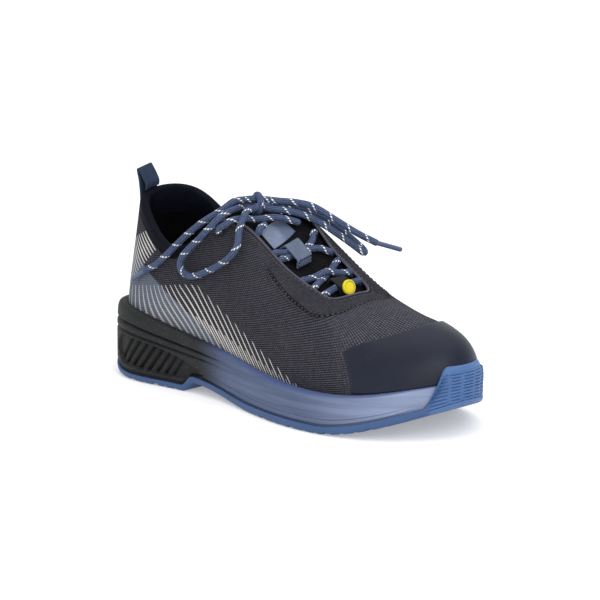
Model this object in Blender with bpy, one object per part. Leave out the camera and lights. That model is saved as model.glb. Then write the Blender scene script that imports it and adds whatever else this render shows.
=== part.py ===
"""A low safety shoe for the right foot: knitted upper, foam midsole cup, rubber outsole and a round lace.

Metres, +Z up, toe towards +X, outer (lateral) side towards -Y. The upper is a wall that runs right round
the foot. Each row of WALL_SECTIONS is one section of it, from the edge on the midsole up to the edge of
the collar or throat, and a closed spline joins the sections. The sole's pieces are laid out from the same
wall, so one change of size moves all of them.
"""

import math

import bmesh
import bpy
import numpy as np
from mathutils import Matrix, Vector

# Driving sizes
LENGTH = 0.290
BALL_WIDTH = 0.104
BACK_HEIGHT = 0.111
GAP = 0.0003

# The upper's wall, section by section from the back of the heel round the outer side and the toe.
# along is a share of LENGTH, across of BALL_WIDTH, and the heights bed, cup and top of BACK_HEIGHT.
# bed is the wall's lower edge, cup the midsole rim outside it, top the collar or throat edge. rise and
# splay are the length and outward lean of the curve's lower handle, reach and drop those of the upper one.
# flare is how far the midsole stands out of the wall, pad how much of the collar's padding is here.
COLUMNS = ("along", "across", "bed", "cup", "top_along", "top_across", "top",
           "rise", "splay", "reach", "drop", "flare", "pad")
WALL_SECTIONS = {
    "heel_back":        (0.008, 0.000, 0.27, 0.40, 0.020, 0.000, 1.000, 0.22, 0, 0.22, 84, 0.0055, 1.0),
    "heel_outer":       (0.068, -0.305, 0.27, 0.42, 0.082, -0.208, 0.925, 0.24, 0, 0.22, 82, 0.0055, 1.0),
    "ankle_outer":      (0.215, -0.335, 0.26, 0.355, 0.210, -0.296, 0.770, 0.16, 4, 0.14, 78, 0.0060, 1.0),
    "waist_outer":      (0.385, -0.345, 0.23, 0.285, 0.335, -0.240, 0.965, 0.24, 8, 0.24, 60, 0.0050, 0.6),
    "ball_outer":       (0.640, -0.455, 0.18, 0.215, 0.510, -0.205, 0.795, 0.24, 6, 0.20, 28, 0.0085, 0.0),
    "toe_outer":        (0.830, -0.390, 0.20, 0.235, 0.610, -0.190, 0.675, 0.26, 4, 0.33, 13, 0.0055, 0.0),
    "toe_corner_outer": (0.917, -0.215, 0.24, 0.28, 0.645, -0.140, 0.640, 0.27, 7, 0.41, 12, 0.0030, 0.0),
    "toe_tip":          (0.953, 0.020, 0.27, 0.30, 0.655, 0.010, 0.650, 0.325, 13, 0.50, 11, 0.0025, 0.0),
    "toe_corner_inner": (0.924, 0.213, 0.24, 0.28, 0.640, 0.145, 0.640, 0.305, 5, 0.40, 15, 0.0030, 0.0),
    "toe_inner":        (0.850, 0.350, 0.20, 0.235, 0.600, 0.190, 0.685, 0.22, 4, 0.24, 20, 0.0040, 0.0),
    "ball_inner":       (0.700, 0.430, 0.18, 0.215, 0.510, 0.215, 0.815, 0.23, 4, 0.18, 24, 0.0050, 0.0),
    "waist_inner":      (0.430, 0.312, 0.23, 0.29, 0.370, 0.245, 0.965, 0.26, 6, 0.24, 60, 0.0060, 0.6),
    "ankle_inner":      (0.245, 0.318, 0.26, 0.35, 0.215, 0.300, 0.795, 0.16, 4, 0.14, 78, 0.0060, 1.0),
    "heel_inner":       (0.080, 0.285, 0.27, 0.42, 0.085, 0.228, 1.000, 0.24, 0, 0.22, 82, 0.0055, 1.0),
}
WALL = 0.0026
COLLAR_PAD = 0.0034
PAD_START, PAD_END = 0.70, 0.95
EDGE_LEAD = 0.012
EDGE_CREST = 0.25
EDGE_ROUNDING = 0.12
CLIMBING_SHARE = 0.6
HALVINGS = 26

# The ground line of the outsole along the foot
HEEL_BEVEL = 0.034
HEEL_BEVEL_RISE = 0.0060
HEEL_FRONT = 0.078
HEEL_BREAST = 0.010
FOREFOOT_BACK = 0.150
ARCH_RISE = 0.007
TOE_BREAK = 0.212
TOE_SPRING = 0.0245
TOE_SPRING_POWER = 1.65

# Outsole: tread thickness, the low wall round the midsole's foot, and the bumper that climbs over the toe.
# Shares of the foot's girth from the toe tip say where the midsole tucks in and where the bumper climbs.
HEEL_TREAD = 0.0030
FOREFOOT_TREAD = 0.0042
EDGE_HEIGHT = 0.0010
EDGE_WALL = 0.0014
EDGE_ROUND = 0.0024
TUCK_START, TUCK_END = 0.075, 0.043
CLIMB_START, CLIMB_END = 0.0425, 0.0175
TUCKED_OUT = 0.0016
BUMPER_WALL = 0.0024
BUMPER_TOP = 0.0435
BUMPER_BAND = 0.80
BUMPER_RIBS = 6
RIB_DEPTH = 0.0010
BUMPER_STEP = 0.0014
BUMPER_LEDGE = 0.03

# The midsole's side: share of the height from its foot to its rim, and how far it stands out of the wall
# beyond flare. Columns: share, at the heel, at the forefoot
SIDE_ROWS = (
    (0.16, 0.0014, 0.0014),
    (0.34, 0.0016, 0.0016),
    (0.585, 0.0010, 0.0013),
    (0.62, -0.0004, 0.0012),
    (0.655, 0.0008, 0.0011),
    (0.72, 0.0008, 0.0009),
    (0.755, -0.0010, 0.0008),
    (0.79, 0.0006, 0.0006),
    (0.93, 0.0010, -0.0004),
    (1.00, -0.0012, -0.0018),
)
SIDE_HEEL_END, SIDE_FOREFOOT_START = 0.085, 0.135

RING = 70
RING_CROWDING = 0.25
SHARP_ANGLE = math.radians(40)


def smooth(low, high, at):
    """0 at low, 1 at high, and an even S between them."""
    t = np.clip((at - low) / (high - low), 0.0, 1.0)
    return t * t * (3 - 2 * t)


def blend(first, second, share):
    """first at share 0, second at share 1."""
    return first + (second - first) * share


def closed_spline(knots, values, at):
    """The periodic cubic through rows of values at knots from 0 to 1, read at the places at."""
    n = len(knots)
    step = np.diff(np.append(knots, 1.0))
    before = np.roll(step, 1)
    row = np.arange(n)
    system = np.zeros((n, n))
    system[row, row] = 2 * (before + step)
    system[row, row - 1] += before
    system[row, (row + 1) % n] += step
    after = np.roll(values, -1, axis=0)
    slope = (after - values) / step[:, None]
    bend = np.linalg.solve(system, 6 * (slope - np.roll(slope, 1, axis=0)))
    at = np.asarray(at, float) % 1.0
    i = np.searchsorted(knots, at, side="right") - 1
    h = step[i][..., None]
    b = (at - knots[i])[..., None] / h
    a = 1 - b
    curve = a * values[i] + b * after[i]
    return curve + ((a**3 - a) * bend[i] + (b**3 - b) * np.roll(bend, -1, axis=0)[i]) * h * h / 6


def section_table():
    """The knots round the foot, by distance from section to section, and the table in metres and radians."""
    rows = np.array(list(WALL_SECTIONS.values()), float)
    scale = {"along": LENGTH, "top_along": LENGTH, "across": BALL_WIDTH, "top_across": BALL_WIDTH,
             "bed": BACK_HEIGHT, "cup": BACK_HEIGHT, "top": BACK_HEIGHT, "rise": BACK_HEIGHT,
             "reach": BACK_HEIGHT, "splay": math.radians(1), "drop": math.radians(1)}
    rows = rows * [scale.get(name, 1.0) for name in COLUMNS]
    plan = rows[:, :2]
    stride = np.linalg.norm(np.roll(plan, -1, axis=0) - plan, axis=1)
    knots = np.concatenate([[0.0], np.cumsum(stride)[:-1]]) / stride.sum()
    return knots, rows


KNOTS, ROWS = section_table()
STATION = dict(zip(WALL_SECTIONS, KNOTS))
TOE = STATION["toe_tip"]


def column(u, *names):
    """The named columns of the section table at the places u round the foot."""
    values = closed_spline(KNOTS, ROWS, u)
    found = [values[..., COLUMNS.index(name)] for name in names]
    return found[0] if len(found) == 1 else found


def outward(u):
    """The level direction that points out of the foot, square to its plan outline."""
    step = 1e-4
    ahead = np.stack(column(u + step, "along", "across"), -1)
    behind = np.stack(column(u - step, "along", "across"), -1)
    run = ahead - behind
    run /= np.linalg.norm(run, axis=-1, keepdims=True)
    return np.stack([run[..., 1], -run[..., 0], np.zeros_like(run[..., 0])], -1)


def wall(u, v):
    """The upper's outer face: a cubic from the bed edge (v 0) to the collar or throat edge (v 1).

    The lower handle rises from the bed edge, leaning out by splay. The upper handle leaves the top edge
    towards the foot of the same section, or straight out where the edge is right above it, and falls by drop.
    """
    u, v = np.broadcast_arrays(np.asarray(u, float), np.asarray(v, float))
    x, y, z, top_x, top_y, top_z = column(u, "along", "across", "bed", "top_along", "top_across", "top")
    rise, splay, reach, drop = (c[..., None] for c in column(u, "rise", "splay", "reach", "drop"))
    out, up = outward(u), np.array([0.0, 0.0, 1.0])
    foot = np.stack([x, y, z], -1)
    edge = np.stack([top_x, top_y, top_z], -1)
    away = (foot - edge) * [1.0, 1.0, 0.0] + out * EDGE_LEAD
    away /= np.linalg.norm(away, axis=-1, keepdims=True)
    lower = foot + rise * (out * np.sin(splay) + up * np.cos(splay))
    upper = edge + reach * (away * np.cos(drop) - up * np.sin(drop))
    t = v[..., None]
    s = 1 - t
    return s**3 * foot + 3 * s * s * t * lower + 3 * s * t * t * upper + t**3 * edge


def lifted(u, v, lift):
    """The upper's outer face moved out by lift along its own normal, or in where lift is negative."""
    u, v = np.broadcast_arrays(np.asarray(u, float), np.asarray(v, float))
    step = 1e-3
    along = wall(u + step, v) - wall(u - step, v)
    climb = wall(u, np.clip(v + step, 0, 1)) - wall(u, np.clip(v - step, 0, 1))
    normal = np.cross(along, climb)
    normal /= np.linalg.norm(normal, axis=-1, keepdims=True)
    return wall(u, v) + normal * np.broadcast_to(lift, u.shape)[..., None]


def thickness(u, v):
    """The upper's wall, thicker where the collar is padded."""
    return WALL + COLLAR_PAD * np.clip(column(u, "pad"), 0, 1) * smooth(PAD_START, PAD_END, v)


def height_share(u, z):
    """The v at which the wall is z high, found by halving its lower part, where it only climbs."""
    low = np.zeros_like(u)
    high = np.full_like(u, CLIMBING_SHARE)
    for _ in range(HALVINGS):
        middle = (low + high) / 2
        below = wall(u, middle)[..., 2] < z
        low = np.where(below, middle, low)
        high = np.where(below, high, middle)
    return (low + high) / 2


def beside(u, z, out):
    """A place at height z, out from the wall. Below the bed edge the wall goes straight down."""
    u, z, out = np.broadcast_arrays(u, z, out)
    spot = wall(u, height_share(u, z)) + outward(u) * out[..., None]
    spot[..., 2] = z
    return spot


def ground(x):
    """The height of the tread: a bevelled heel, an arch that starts at the heel breast, and a toe spring."""
    bevel = HEEL_BEVEL_RISE * np.clip((HEEL_BEVEL - x) / HEEL_BEVEL, 0, None) ** 2
    arch = smooth(HEEL_FRONT, HEEL_FRONT + HEEL_BREAST, x) * (1 - smooth(HEEL_FRONT, FOREFOOT_BACK, x))
    spring = np.clip((x - TOE_BREAK) / (LENGTH - TOE_BREAK), 0, None) ** TOE_SPRING_POWER
    return bevel + ARCH_RISE * arch + TOE_SPRING * spring


def tread(x):
    """The outsole's thickness along the foot."""
    return blend(HEEL_TREAD, FOREFOOT_TREAD, smooth(HEEL_FRONT, FOREFOOT_BACK, x))


def on_ground(u, out, lift):
    """A place out from the wall's foot, lift above the tread there. lift is a number or a function of x."""
    spot = beside(u, np.zeros_like(u), out)
    x = spot[..., 0]
    spot[..., 2] = ground(x) + (lift(x) if callable(lift) else lift)
    return spot


def from_toe(u):
    """How far u is from the toe tip, as a share of the foot's girth."""
    return np.abs(u - TOE)


def tuck(u):
    """1 where the midsole is drawn in behind the bumper."""
    return smooth(TUCK_START, TUCK_END, from_toe(u))


def climb(u):
    """1 where the bumper has its full height, 0 where it is as low as the edge."""
    return smooth(CLIMB_START, CLIMB_END, from_toe(u))


def foot_out(u):
    """How far the midsole's foot stands out of the wall."""
    return blend(column(u, "flare"), TUCKED_OUT, tuck(u))


def places(count=RING, crowding=RING_CROWDING):
    """Places round the foot, half on each side, closer together at the heel and the toe."""
    s = np.arange(count // 2) / (count // 2)
    s = s - crowding * np.sin(2 * np.pi * s) / (2 * np.pi)
    return np.concatenate([TOE * s, TOE + (1 - TOE) * s])


def finish_mesh(name, vertices, faces):
    """An object of the vertices and faces, facing out, with its own material."""
    mesh = bpy.data.meshes.new(name)
    mesh.from_pydata(vertices, [], faces)
    work = bmesh.new()
    work.from_mesh(mesh)
    bmesh.ops.triangulate(work, faces=work.faces, quad_method="FIXED")
    bmesh.ops.recalc_face_normals(work, faces=work.faces)
    work.to_mesh(mesh)
    work.free()
    mesh.shade_smooth()
    mesh.set_sharp_from_angle(angle=SHARP_ANGLE)
    thing = bpy.data.objects.new(name, mesh)
    bpy.context.scene.collection.objects.link(thing)
    thing.data.materials.append(material(name))
    return thing


def material(name):
    """A plain surface in the piece's colour."""
    colour, roughness = FINISH[name if name in FINISH else "lace"]
    made = bpy.data.materials.new(name)
    made.use_nodes = True
    surface = made.node_tree.nodes["Principled BSDF"]
    surface.inputs["Base Color"].default_value = (*colour, 1.0)
    surface.inputs["Roughness"].default_value = roughness
    return made


def ring_solid(name, rings, capped=True):
    """A closed solid through rings of the same count, capped across the foot or joined last to first."""
    rings = np.asarray(rings)
    count, size = rings.shape[:2]
    index = np.arange(count * size).reshape(count, size)
    after = np.roll(index, -1, axis=1)
    last = count - 1 if capped else count
    nxt = np.roll(index, -1, axis=0)
    nxt_after = np.roll(after, -1, axis=0)
    sides = np.stack([index, after, nxt_after, nxt], -1)[:last].reshape(-1, 4)
    faces = [tuple(face) for face in sides.tolist()]
    if capped:
        for ring in (index[0], index[-1]):
            faces += ladder(ring.tolist())
    return finish_mesh(name, rings.reshape(-1, 3).tolist(), faces)


def ladder(ring):
    """Faces across a ring, from its start to the place half way round."""
    size = len(ring)
    rungs = [(ring[i], ring[size - i]) for i in range(1, size // 2)]
    faces = [(ring[0], *rungs[0]), (rungs[-1][1], rungs[-1][0], ring[size // 2])]
    for (left, right), (next_left, next_right) in zip(rungs, rungs[1:]):
        faces.append((left, next_left, next_right, right))
    return faces


def patch_solid(name, inner, outer):
    """A closed solid between two grids of the same shape."""
    inner, outer = np.asarray(inner), np.asarray(outer)
    rows, cols = inner.shape[:2]
    low = np.arange(rows * cols).reshape(rows, cols)
    high = low + rows * cols
    faces = []
    for grid in (low, high):
        quads = np.stack([grid[:-1, :-1], grid[:-1, 1:], grid[1:, 1:], grid[1:, :-1]], -1)
        faces += [tuple(quad) for quad in quads.reshape(-1, 4).tolist()]
    rim = [(0, c) for c in range(cols)] + [(r, cols - 1) for r in range(1, rows)]
    rim += [(rows - 1, c) for c in range(cols - 2, -1, -1)] + [(r, 0) for r in range(rows - 2, 0, -1)]
    for here, there in zip(rim, rim[1:] + rim[:1]):
        faces.append((int(low[here]), int(low[there]), int(high[there]), int(high[here])))
    vertices = np.concatenate([inner.reshape(-1, 3), outer.reshape(-1, 3)]).tolist()
    return finish_mesh(name, vertices, faces)


# Colours and their roughness
FINISH = {
    "upper": ((0.045, 0.046, 0.055), 0.85),
    "midsole": ((0.12, 0.16, 0.29), 0.65),
    "outsole": ((0.09, 0.17, 0.36), 0.60),
    "toe_cap": ((0.025, 0.028, 0.040), 0.55),
    "tongue": ((0.012, 0.012, 0.016), 0.90),
    "insole": ((0.020, 0.024, 0.040), 0.90),
    "pull_loop": ((0.045, 0.065, 0.130), 0.80),
    "tongue_label": ((0.060, 0.075, 0.130), 0.35),
    "lace_keeper": ((0.055, 0.070, 0.120), 0.40),
    "badge_loop": ((0.012, 0.012, 0.016), 0.80),
    "badge": ((0.900, 0.700, 0.020), 0.35),
    "lace": ((0.085, 0.120, 0.230), 0.80),
}

UPPER_ROWS = (0.0, 0.08, 0.20, 0.34, 0.48, 0.62, 0.75, 0.87, 0.96)
LINING_ROWS = (0.96, 0.85, 0.68, 0.46, 0.22, 0.0)
BED_GAP = 0.00045

# Insole
INSOLE = 0.0040
INSOLE_INSET = 0.0012
INSOLE_ROUND = 0.0010

# Toe cap: shares of the girth from the toe tip, its top edge as a share of the wall and how much that falls
# towards both ends, and its two faces
CAP_OUTER, CAP_INNER = 0.108, 0.095
CAP_TOP, CAP_FALL = 0.565, 0.200
CAP_LIFT = 0.00055
CAP_THICK = 0.0010
CAP_GRID = (7, 26)

TONGUE_SINK = 0.0004

# Tongue sections from under the vamp to the top: where on the throat the section is (share of LENGTH),
# how far it is moved on and up from there, its crown between the two edges, its width, and how much
# higher than up its inner edge is. Columns: along, forward, up, crown, width, tilt
TONGUE_SECTIONS = (
    (0.637, 0.014, -0.0060, 0.0010, 0.92, 0.0),
    (0.637, 0.006, -0.0026, 0.0012, 0.98, 0.0),
    (0.637, 0.000, -TONGUE_SINK, 0.0012, 1.0, 0.0),
    (0.600, 0.000, -TONGUE_SINK, 0.0008, 1.0, 0.0),
    (0.550, 0.000, -TONGUE_SINK, -0.0008, 1.0, 0.0),
    (0.500, 0.000, -TONGUE_SINK, -0.0020, 1.0, 0.0),
    (0.450, 0.000, -TONGUE_SINK, -0.0025, 1.0, 0.0),
    (0.400, 0.000, -TONGUE_SINK, -0.0018, 1.0, 0.0),
    (0.372, 0.000, -TONGUE_SINK, -0.0005, 1.0, 0.0),
    (0.372, -0.008, 0.0046, 0.0018, 0.90, 0.0012),
    (0.372, -0.014, 0.0100, 0.0030, 0.78, 0.0022),
)
TONGUE = 0.0042
TONGUE_LEAN = 0.25
TONGUE_GAP = 0.0009
TONGUE_UNDERLAP = (0.82, 0.91, 1.0)
TONGUE_ACROSS = (-0.75, -0.45, -0.15, 0.15, 0.45, 0.75)

# Trim on the tongue: along the throat (shares of LENGTH), across it (shares of half its width)
LABEL = {"along": (0.400, 0.454), "across": (-0.66, 0.50), "skew": -0.019, "lift": (0.0003, 0.0009)}
KEEPER = {"along": (0.463, 0.517), "across": (-0.52, 0.14), "skew": -0.013, "thick": 0.0014}
BADGE_LOOP = {"along": (0.590, 0.630), "across": (-0.26, 0.34), "skew": 0.0, "thick": 0.0012}
# The badge in front of its loop: its middle in millimetres and the way it faces
BADGE_PLACE, BADGE_FACING = (185.6, -1.2, 75.6), (0.97, -0.06, 0.23)
BADGE_RADIUS, BADGE_THICK, BADGE_SIDES = 0.0046, 0.0016, 24
# Shares of the thickness and the radius, from the seat over the rim to the dish in the middle
BADGE_PROFILE = ((0.0, 1.0), (0.75, 1.0), (1.0, 0.90), (1.0, 0.62), (0.85, 0.56))
STRAP_RAMP = 0.16

# Top eyelets
EYELET = 0.0044
EYELET_DRILL = 0.02
EYELET_SIDES = 12
# Places round the foot and up the wall
EYELETS = {"eyelet_guide_outer": (0.2125, 0.905), "eyelet_guide_inner": (0.780, 0.90)}

# Webbing loop at the back of the collar
LOOP_HALF_WIDTH = 0.0138
LOOP_THICK = 0.0014
LOOP_RISE = 0.0150
LOOP_LEAN = -0.0040
LOOP_SEAMS = (0.84, 0.94)
LOOP_BULGE_OUT = 0.0026
LOOP_SHOULDER = 0.45
# The inner leg comes down on the collar's rim: how far in, as a share of the rim, and how far above the edge
LOOP_INNER, LOOP_FOOT = 0.35, 0.0022

# Recessed panel on each side of the heel: where it starts and ends round the foot, its heights, its slots
PANEL_ENDS = (0.058, 0.184)
PANEL_MIDDLE = (0.0195, 0.0125)
PANEL_HALF = 0.0098
PANEL_DEPTH = 0.0014
PANEL_RUN = 0.083
PANEL_NOSE = 0.10
PANEL_TAPER = 2.8
PANEL_SHARPNESS = 0.8
PANEL_TIP = 0.06
PANEL_OUT = 0.004
SLOT_COUNT = 8
SLOT_WIDTH = 0.0022
SLOT_DEPTH = 0.0020
SLOT_SLANT = 0.75
SLOT_RUN = (0.13, 0.69)
SLOT_SHARE = 0.86
SLOT_SINK = 0.0004

# Grooves that part the tread into lugs
CROSS_GROOVES = (0.034, 0.056, 0.164, 0.191, 0.218, 0.244)
GROOVE_WIDTH = 0.0034
GROOVE_DEPTH = 0.0016
LONG_GROOVES = ((0.012, 0.072), (0.158, 0.236))

# Lace
LACE = 0.0042
LACE_SIDES = 8
LACE_REST = 0.0006
STRAP_HEIGHT = LACE + 1.8 * LACE_REST

# Strands that lie on the tongue: along (share of LENGTH), across (share of half the throat)
STRANDS = {
    "lace_bar_bottom": [((0.622, -0.86), (0.610, 0.0), (0.603, 0.86))],
    "lace_cross_lower": [((0.5645, -0.88), (0.568, 0.0), (0.573, 0.87)),
                         ((0.596, -0.87), (0.568, 0.0), (0.536, 0.88))],
    "lace_cross_upper": [((0.481, -0.86), (0.489, 0.0), (0.4955, 0.60), (0.511, 0.88)),
                         ((0.499, -0.88), (0.489, 0.0), (0.4805, 0.55), (0.466, 0.86))],
}

# Free stretches of the lace, as places in millimetres from the heel's end and the middle line
KNOT_PLACE, KNOT_SIZE = (106.5, -1.0, 115.7), (6.2, 6.6, 5.4)
ROUTES = {
    "lace_top_bar": ((103.6, -31.0, 102.9), (104.8, -31.0, 105.0), (108.0, -29.6, 107.2),
                     (111.2, -27.0, 110.0), (113.8, -20.4, 110.5), (114.8, -9.0, 108.6),
                     (118.0, 2.0, 108.6), (122.2, 9.0, 106.8), (126.4, 14.0, 104.9)),
    "lace_top_strand": ((124.2, -17.6, 102.6), (122.6, -14.0, 105.0), (121.2, -9.4, 106.0)),
    "lace_end_outer": ((103.9, -9.5, 119.4), (101.4, -16.0, 118.9), (97.2, -23.0, 113.5),
                       (87.0, -29.5, 105.6), (76.0, -32.4, 96.6), (66.3, -33.4, 88.4),
                       (52.9, -35.6, 76.5), (41.8, -35.8, 70.2)),
    "lace_tip_outer": ((41.4, -35.8, 69.95), (28.6, -35.0, 63.0)),
    "lace_loop_outer": ((102.6, -9.0, 114.6), (104.6, -17.0, 114.9), (105.2, -24.8, 113.9),
                        (103.2, -31.2, 110.2), (98.6, -33.8, 104.8), (89.4, -35.2, 96.0),
                        (79.6, -36.6, 87.2), (75.2, -37.2, 80.3), (77.1, -37.5, 75.0),
                        (86.7, -38.0, 73.5), (103.6, -38.5, 80.0), (117.2, -37.4, 88.1),
                        (123.8, -34.9, 96.7), (120.6, -29.7, 106.5), (116.6, -19.6, 115.2),
                        (111.5, -9.0, 114.6)),
    "lace_end_inner": ((109.5, 6.8, 117.6), (114.0, 11.0, 116.9), (122.6, 18.0, 116.0), (131.3, 24.0, 113.4),
                       (143.4, 30.0, 106.2), (155.5, 36.0, 98.9), (166.0, 41.6, 93.6)),
    "lace_tip_inner": ((166.4, 41.8, 93.45), (180.4, 48.0, 90.4)),
    "lace_loop_inner": ((113.0, 4.5, 112.6), (119.5, 11.0, 111.6), (127.5, 18.6, 108.6), (135.3, 25.2, 103.8),
                        (144.9, 31.0, 97.0), (153.7, 36.4, 90.0), (156.9, 40.0, 86.2), (153.9, 43.4, 87.0),
                        (147.4, 40.8, 92.8), (139.5, 36.0, 99.9), (130.8, 29.8, 106.5), (122.0, 22.2, 111.2),
                        (113.8, 14.0, 113.2), (109.2, 8.6, 112.6)),
}
LACE_TIP = 0.0030
CORD_STEP = 2.6


def make_upper():
    """The knitted wall: outer face up, rounded top edge, inner face down, open at both ends."""
    u = places()
    ones = np.ones_like(u)
    thick = thickness(u, ones)
    crest = lifted(u, ones, -thick / 2)
    crest[:, 2] += thick * EDGE_CREST
    rings = [wall(u, ones * v) for v in UPPER_ROWS]
    rings += [lifted(u, ones, -thick * EDGE_ROUNDING), crest, lifted(u, ones, -thick * (1 - EDGE_ROUNDING))]
    rings += [lifted(u, ones * v, -thickness(u, ones * v)) for v in LINING_ROWS]
    return ring_solid("upper", rings, capped=False)


def make_midsole():
    """The foam cup: its side up from the outsole, over the rim, and down inside to the bed."""
    u = places()
    foot = foot_out(u)
    bottom = on_ground(u, foot, lambda x: tread(x) + GAP)
    sill = on_ground(u, foot, lambda x: tread(x) + EDGE_HEIGHT + GAP)
    rim = column(u, "cup")
    bed = column(u, "bed") - GAP
    rings = [bottom, sill]
    heel_share = 1 - smooth(SIDE_HEEL_END, SIDE_FOREFOOT_START, column(u, "along"))
    for share, heel, forefoot in SIDE_ROWS:
        out = foot + blend(forefoot, heel, heel_share) * (1 - tuck(u))
        rings.append(beside(u, blend(sill[:, 2], rim, share), out))
    for share in (0.0, 0.5, 1.0):
        rings.append(beside(u, blend(rim, bed, share), BED_GAP))
    return ring_solid("midsole", rings)


def make_outsole():
    """The rubber tread: its edge round the midsole's foot climbs into a ribbed bumper over the toe."""
    u = places()
    inside = foot_out(u) + blend(GAP, 2 * GAP, tuck(u))
    outside = inside + blend(EDGE_WALL, BUMPER_WALL, climb(u))
    floor = on_ground(u, inside, tread)
    edge = on_ground(u, inside, lambda x: tread(x) + EDGE_HEIGHT)[:, 2]
    top = blend(edge, BUMPER_TOP, climb(u))
    rings = [on_ground(u, outside - EDGE_ROUND, 0.0), on_ground(u, outside - EDGE_ROUND / 4, EDGE_ROUND / 3)]
    low = on_ground(u, outside, EDGE_ROUND)[:, 2]
    for i, share in enumerate(np.linspace(0.0, BUMPER_BAND, 2 * BUMPER_RIBS + 1)):
        rings.append(beside(u, blend(low, top, share), outside - RIB_DEPTH * (i % 2) * climb(u)))
    rings.append(beside(u, blend(low, top, BUMPER_BAND + BUMPER_LEDGE), outside - BUMPER_STEP * climb(u)))
    rings.append(beside(u, top, outside - BUMPER_STEP * climb(u)))
    for share in (0.0, 0.25, 0.5, 0.75):
        rings.append(beside(u, blend(top, floor[:, 2], share), inside))
    rings.append(floor)
    return ring_solid("outsole", rings)


def make_insole():
    """The footbed inside the upper."""
    u = places()
    bed = column(u, "bed")
    inset = -(WALL + INSOLE_INSET)
    rings = [beside(u, bed + GAP, inset - INSOLE_ROUND), beside(u, bed + INSOLE_ROUND, inset),
             beside(u, bed + INSOLE - INSOLE_ROUND, inset), beside(u, bed + INSOLE, inset - INSOLE_ROUND)]
    return ring_solid("insole", rings)


def make_toe_cap():
    """The overlay on the toe: a thin slice of the wall's own form, from the midsole's rim up."""
    rows, cols = CAP_GRID
    u = np.linspace(TOE - CAP_OUTER, TOE + CAP_INNER, cols)[None, :]
    low = height_share(u, column(u, "cup") + 2 * GAP)
    end = np.where(u < TOE, CAP_OUTER, CAP_INNER)
    top = CAP_TOP - CAP_FALL * (from_toe(u) / end) ** 2
    v = blend(low, top, np.linspace(0, 1, rows)[:, None])
    return patch_solid("toe_cap", lifted(u, v, CAP_LIFT), lifted(u, v, CAP_LIFT + CAP_THICK))


def throat_u(along, side):
    """The place round the foot where the throat's edge on one side is this far along, found by halving."""
    along = np.asarray(along, float)
    low = np.full_like(along, STATION["waist_outer" if side < 0 else "waist_inner"])
    high = np.full_like(along, TOE)
    for _ in range(HALVINGS):
        middle = (low + high) / 2
        short = column(middle, "top_along") < along
        low = np.where(short, middle, low)
        high = np.where(short, high, middle)
    return (low + high) / 2


def under_edge(along, side, v):
    """A place just inside the upper, near its throat edge."""
    u = throat_u(along, side)
    v = np.broadcast_to(v, u.shape)
    return lifted(u, v, -(thickness(u, v) + TONGUE_GAP))


def tongue_crown(along):
    """The tongue's crown where it lies in the throat."""
    rows = np.array([row for row in TONGUE_SECTIONS if row[1] == 0.0])[::-1]
    return np.interp(along, rows[:, 0] * LENGTH, rows[:, 3])


def tongue_top(along, across, lift=0.0):
    """The tongue's face in the throat: across is -1 at the outer edge and 1 at the inner edge."""
    along, across, lift = np.broadcast_arrays(np.asarray(along, float) * LENGTH, across, lift)

    def face(x, w):
        outer, inner = under_edge(x, -1, 1.0), under_edge(x, 1, 1.0)
        spot = blend(outer, inner, ((1 + w) / 2)[..., None])
        spot[..., 2] += tongue_crown(x) * (1 - w * w) - TONGUE_SINK
        return spot

    step = 1e-3
    normal = np.cross(face(along + step, across) - face(along - step, across),
                      face(along, across + step) - face(along, across - step))
    normal /= np.linalg.norm(normal, axis=-1, keepdims=True)
    return face(along, across) + normal * lift[..., None]


def make_tongue():
    """The tongue: under the edges of the throat, across it, under the vamp in front and free at the top."""
    sections = []
    side = np.array([-1.0] * len(TONGUE_UNDERLAP) + list(TONGUE_ACROSS) + [1.0] * len(TONGUE_UNDERLAP))
    for along, forward, up, crown, width, tilt in TONGUE_SECTIONS:
        x = np.array(along * LENGTH)
        outer = [under_edge(x, -1, v) for v in TONGUE_UNDERLAP]
        inner = [under_edge(x, 1, v) for v in reversed(TONGUE_UNDERLAP)]
        bridge = [blend(outer[-1], inner[0], (1 + w) / 2) + [0, 0, crown * (1 - w * w)]
                  for w in TONGUE_ACROSS]
        section = np.array(outer + bridge + inner) * [1, width, 1] + [forward, 0, up]
        section[:, 2] += tilt * side
        sections.append(section)
    face = np.array(sections)
    back = face - [TONGUE_LEAN * TONGUE, 0, TONGUE]
    return patch_solid("tongue", back, face)


def hump(count, height, rest=LACE_REST):
    """Lifts for a strap that rises over a lace and comes down again."""
    s = np.linspace(0, 1, count)
    return rest + (height - rest) * smooth(0.0, STRAP_RAMP, s) * (1 - smooth(1 - STRAP_RAMP, 1.0, s))


def strap_over(name, place_on, count=(13, 5)):
    """A strap along the tongue that stands over the lace in its middle."""
    rows, cols = count
    across = np.linspace(*place_on["across"], cols)[None, :]
    along = np.linspace(*place_on["along"], rows)[:, None] + place_on["skew"] * across
    lift = hump(rows, STRAP_HEIGHT)[:, None]
    low = tongue_top(along, across, lift)
    high = tongue_top(along, across, lift + place_on["thick"])
    return patch_solid(name, low, high)


def make_tongue_trim():
    """The label, the strap that keeps the lace in place, and the loop with the round badge."""
    across = np.linspace(*LABEL["across"], 5)[None, :]
    along = np.linspace(*LABEL["along"], 5)[:, None] + LABEL["skew"] * across
    patch_solid("tongue_label", *(tongue_top(along, across, lift) for lift in LABEL["lift"]))
    strap_over("lace_keeper", KEEPER)
    strap_over("badge_loop", BADGE_LOOP)
    make_badge()


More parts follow.
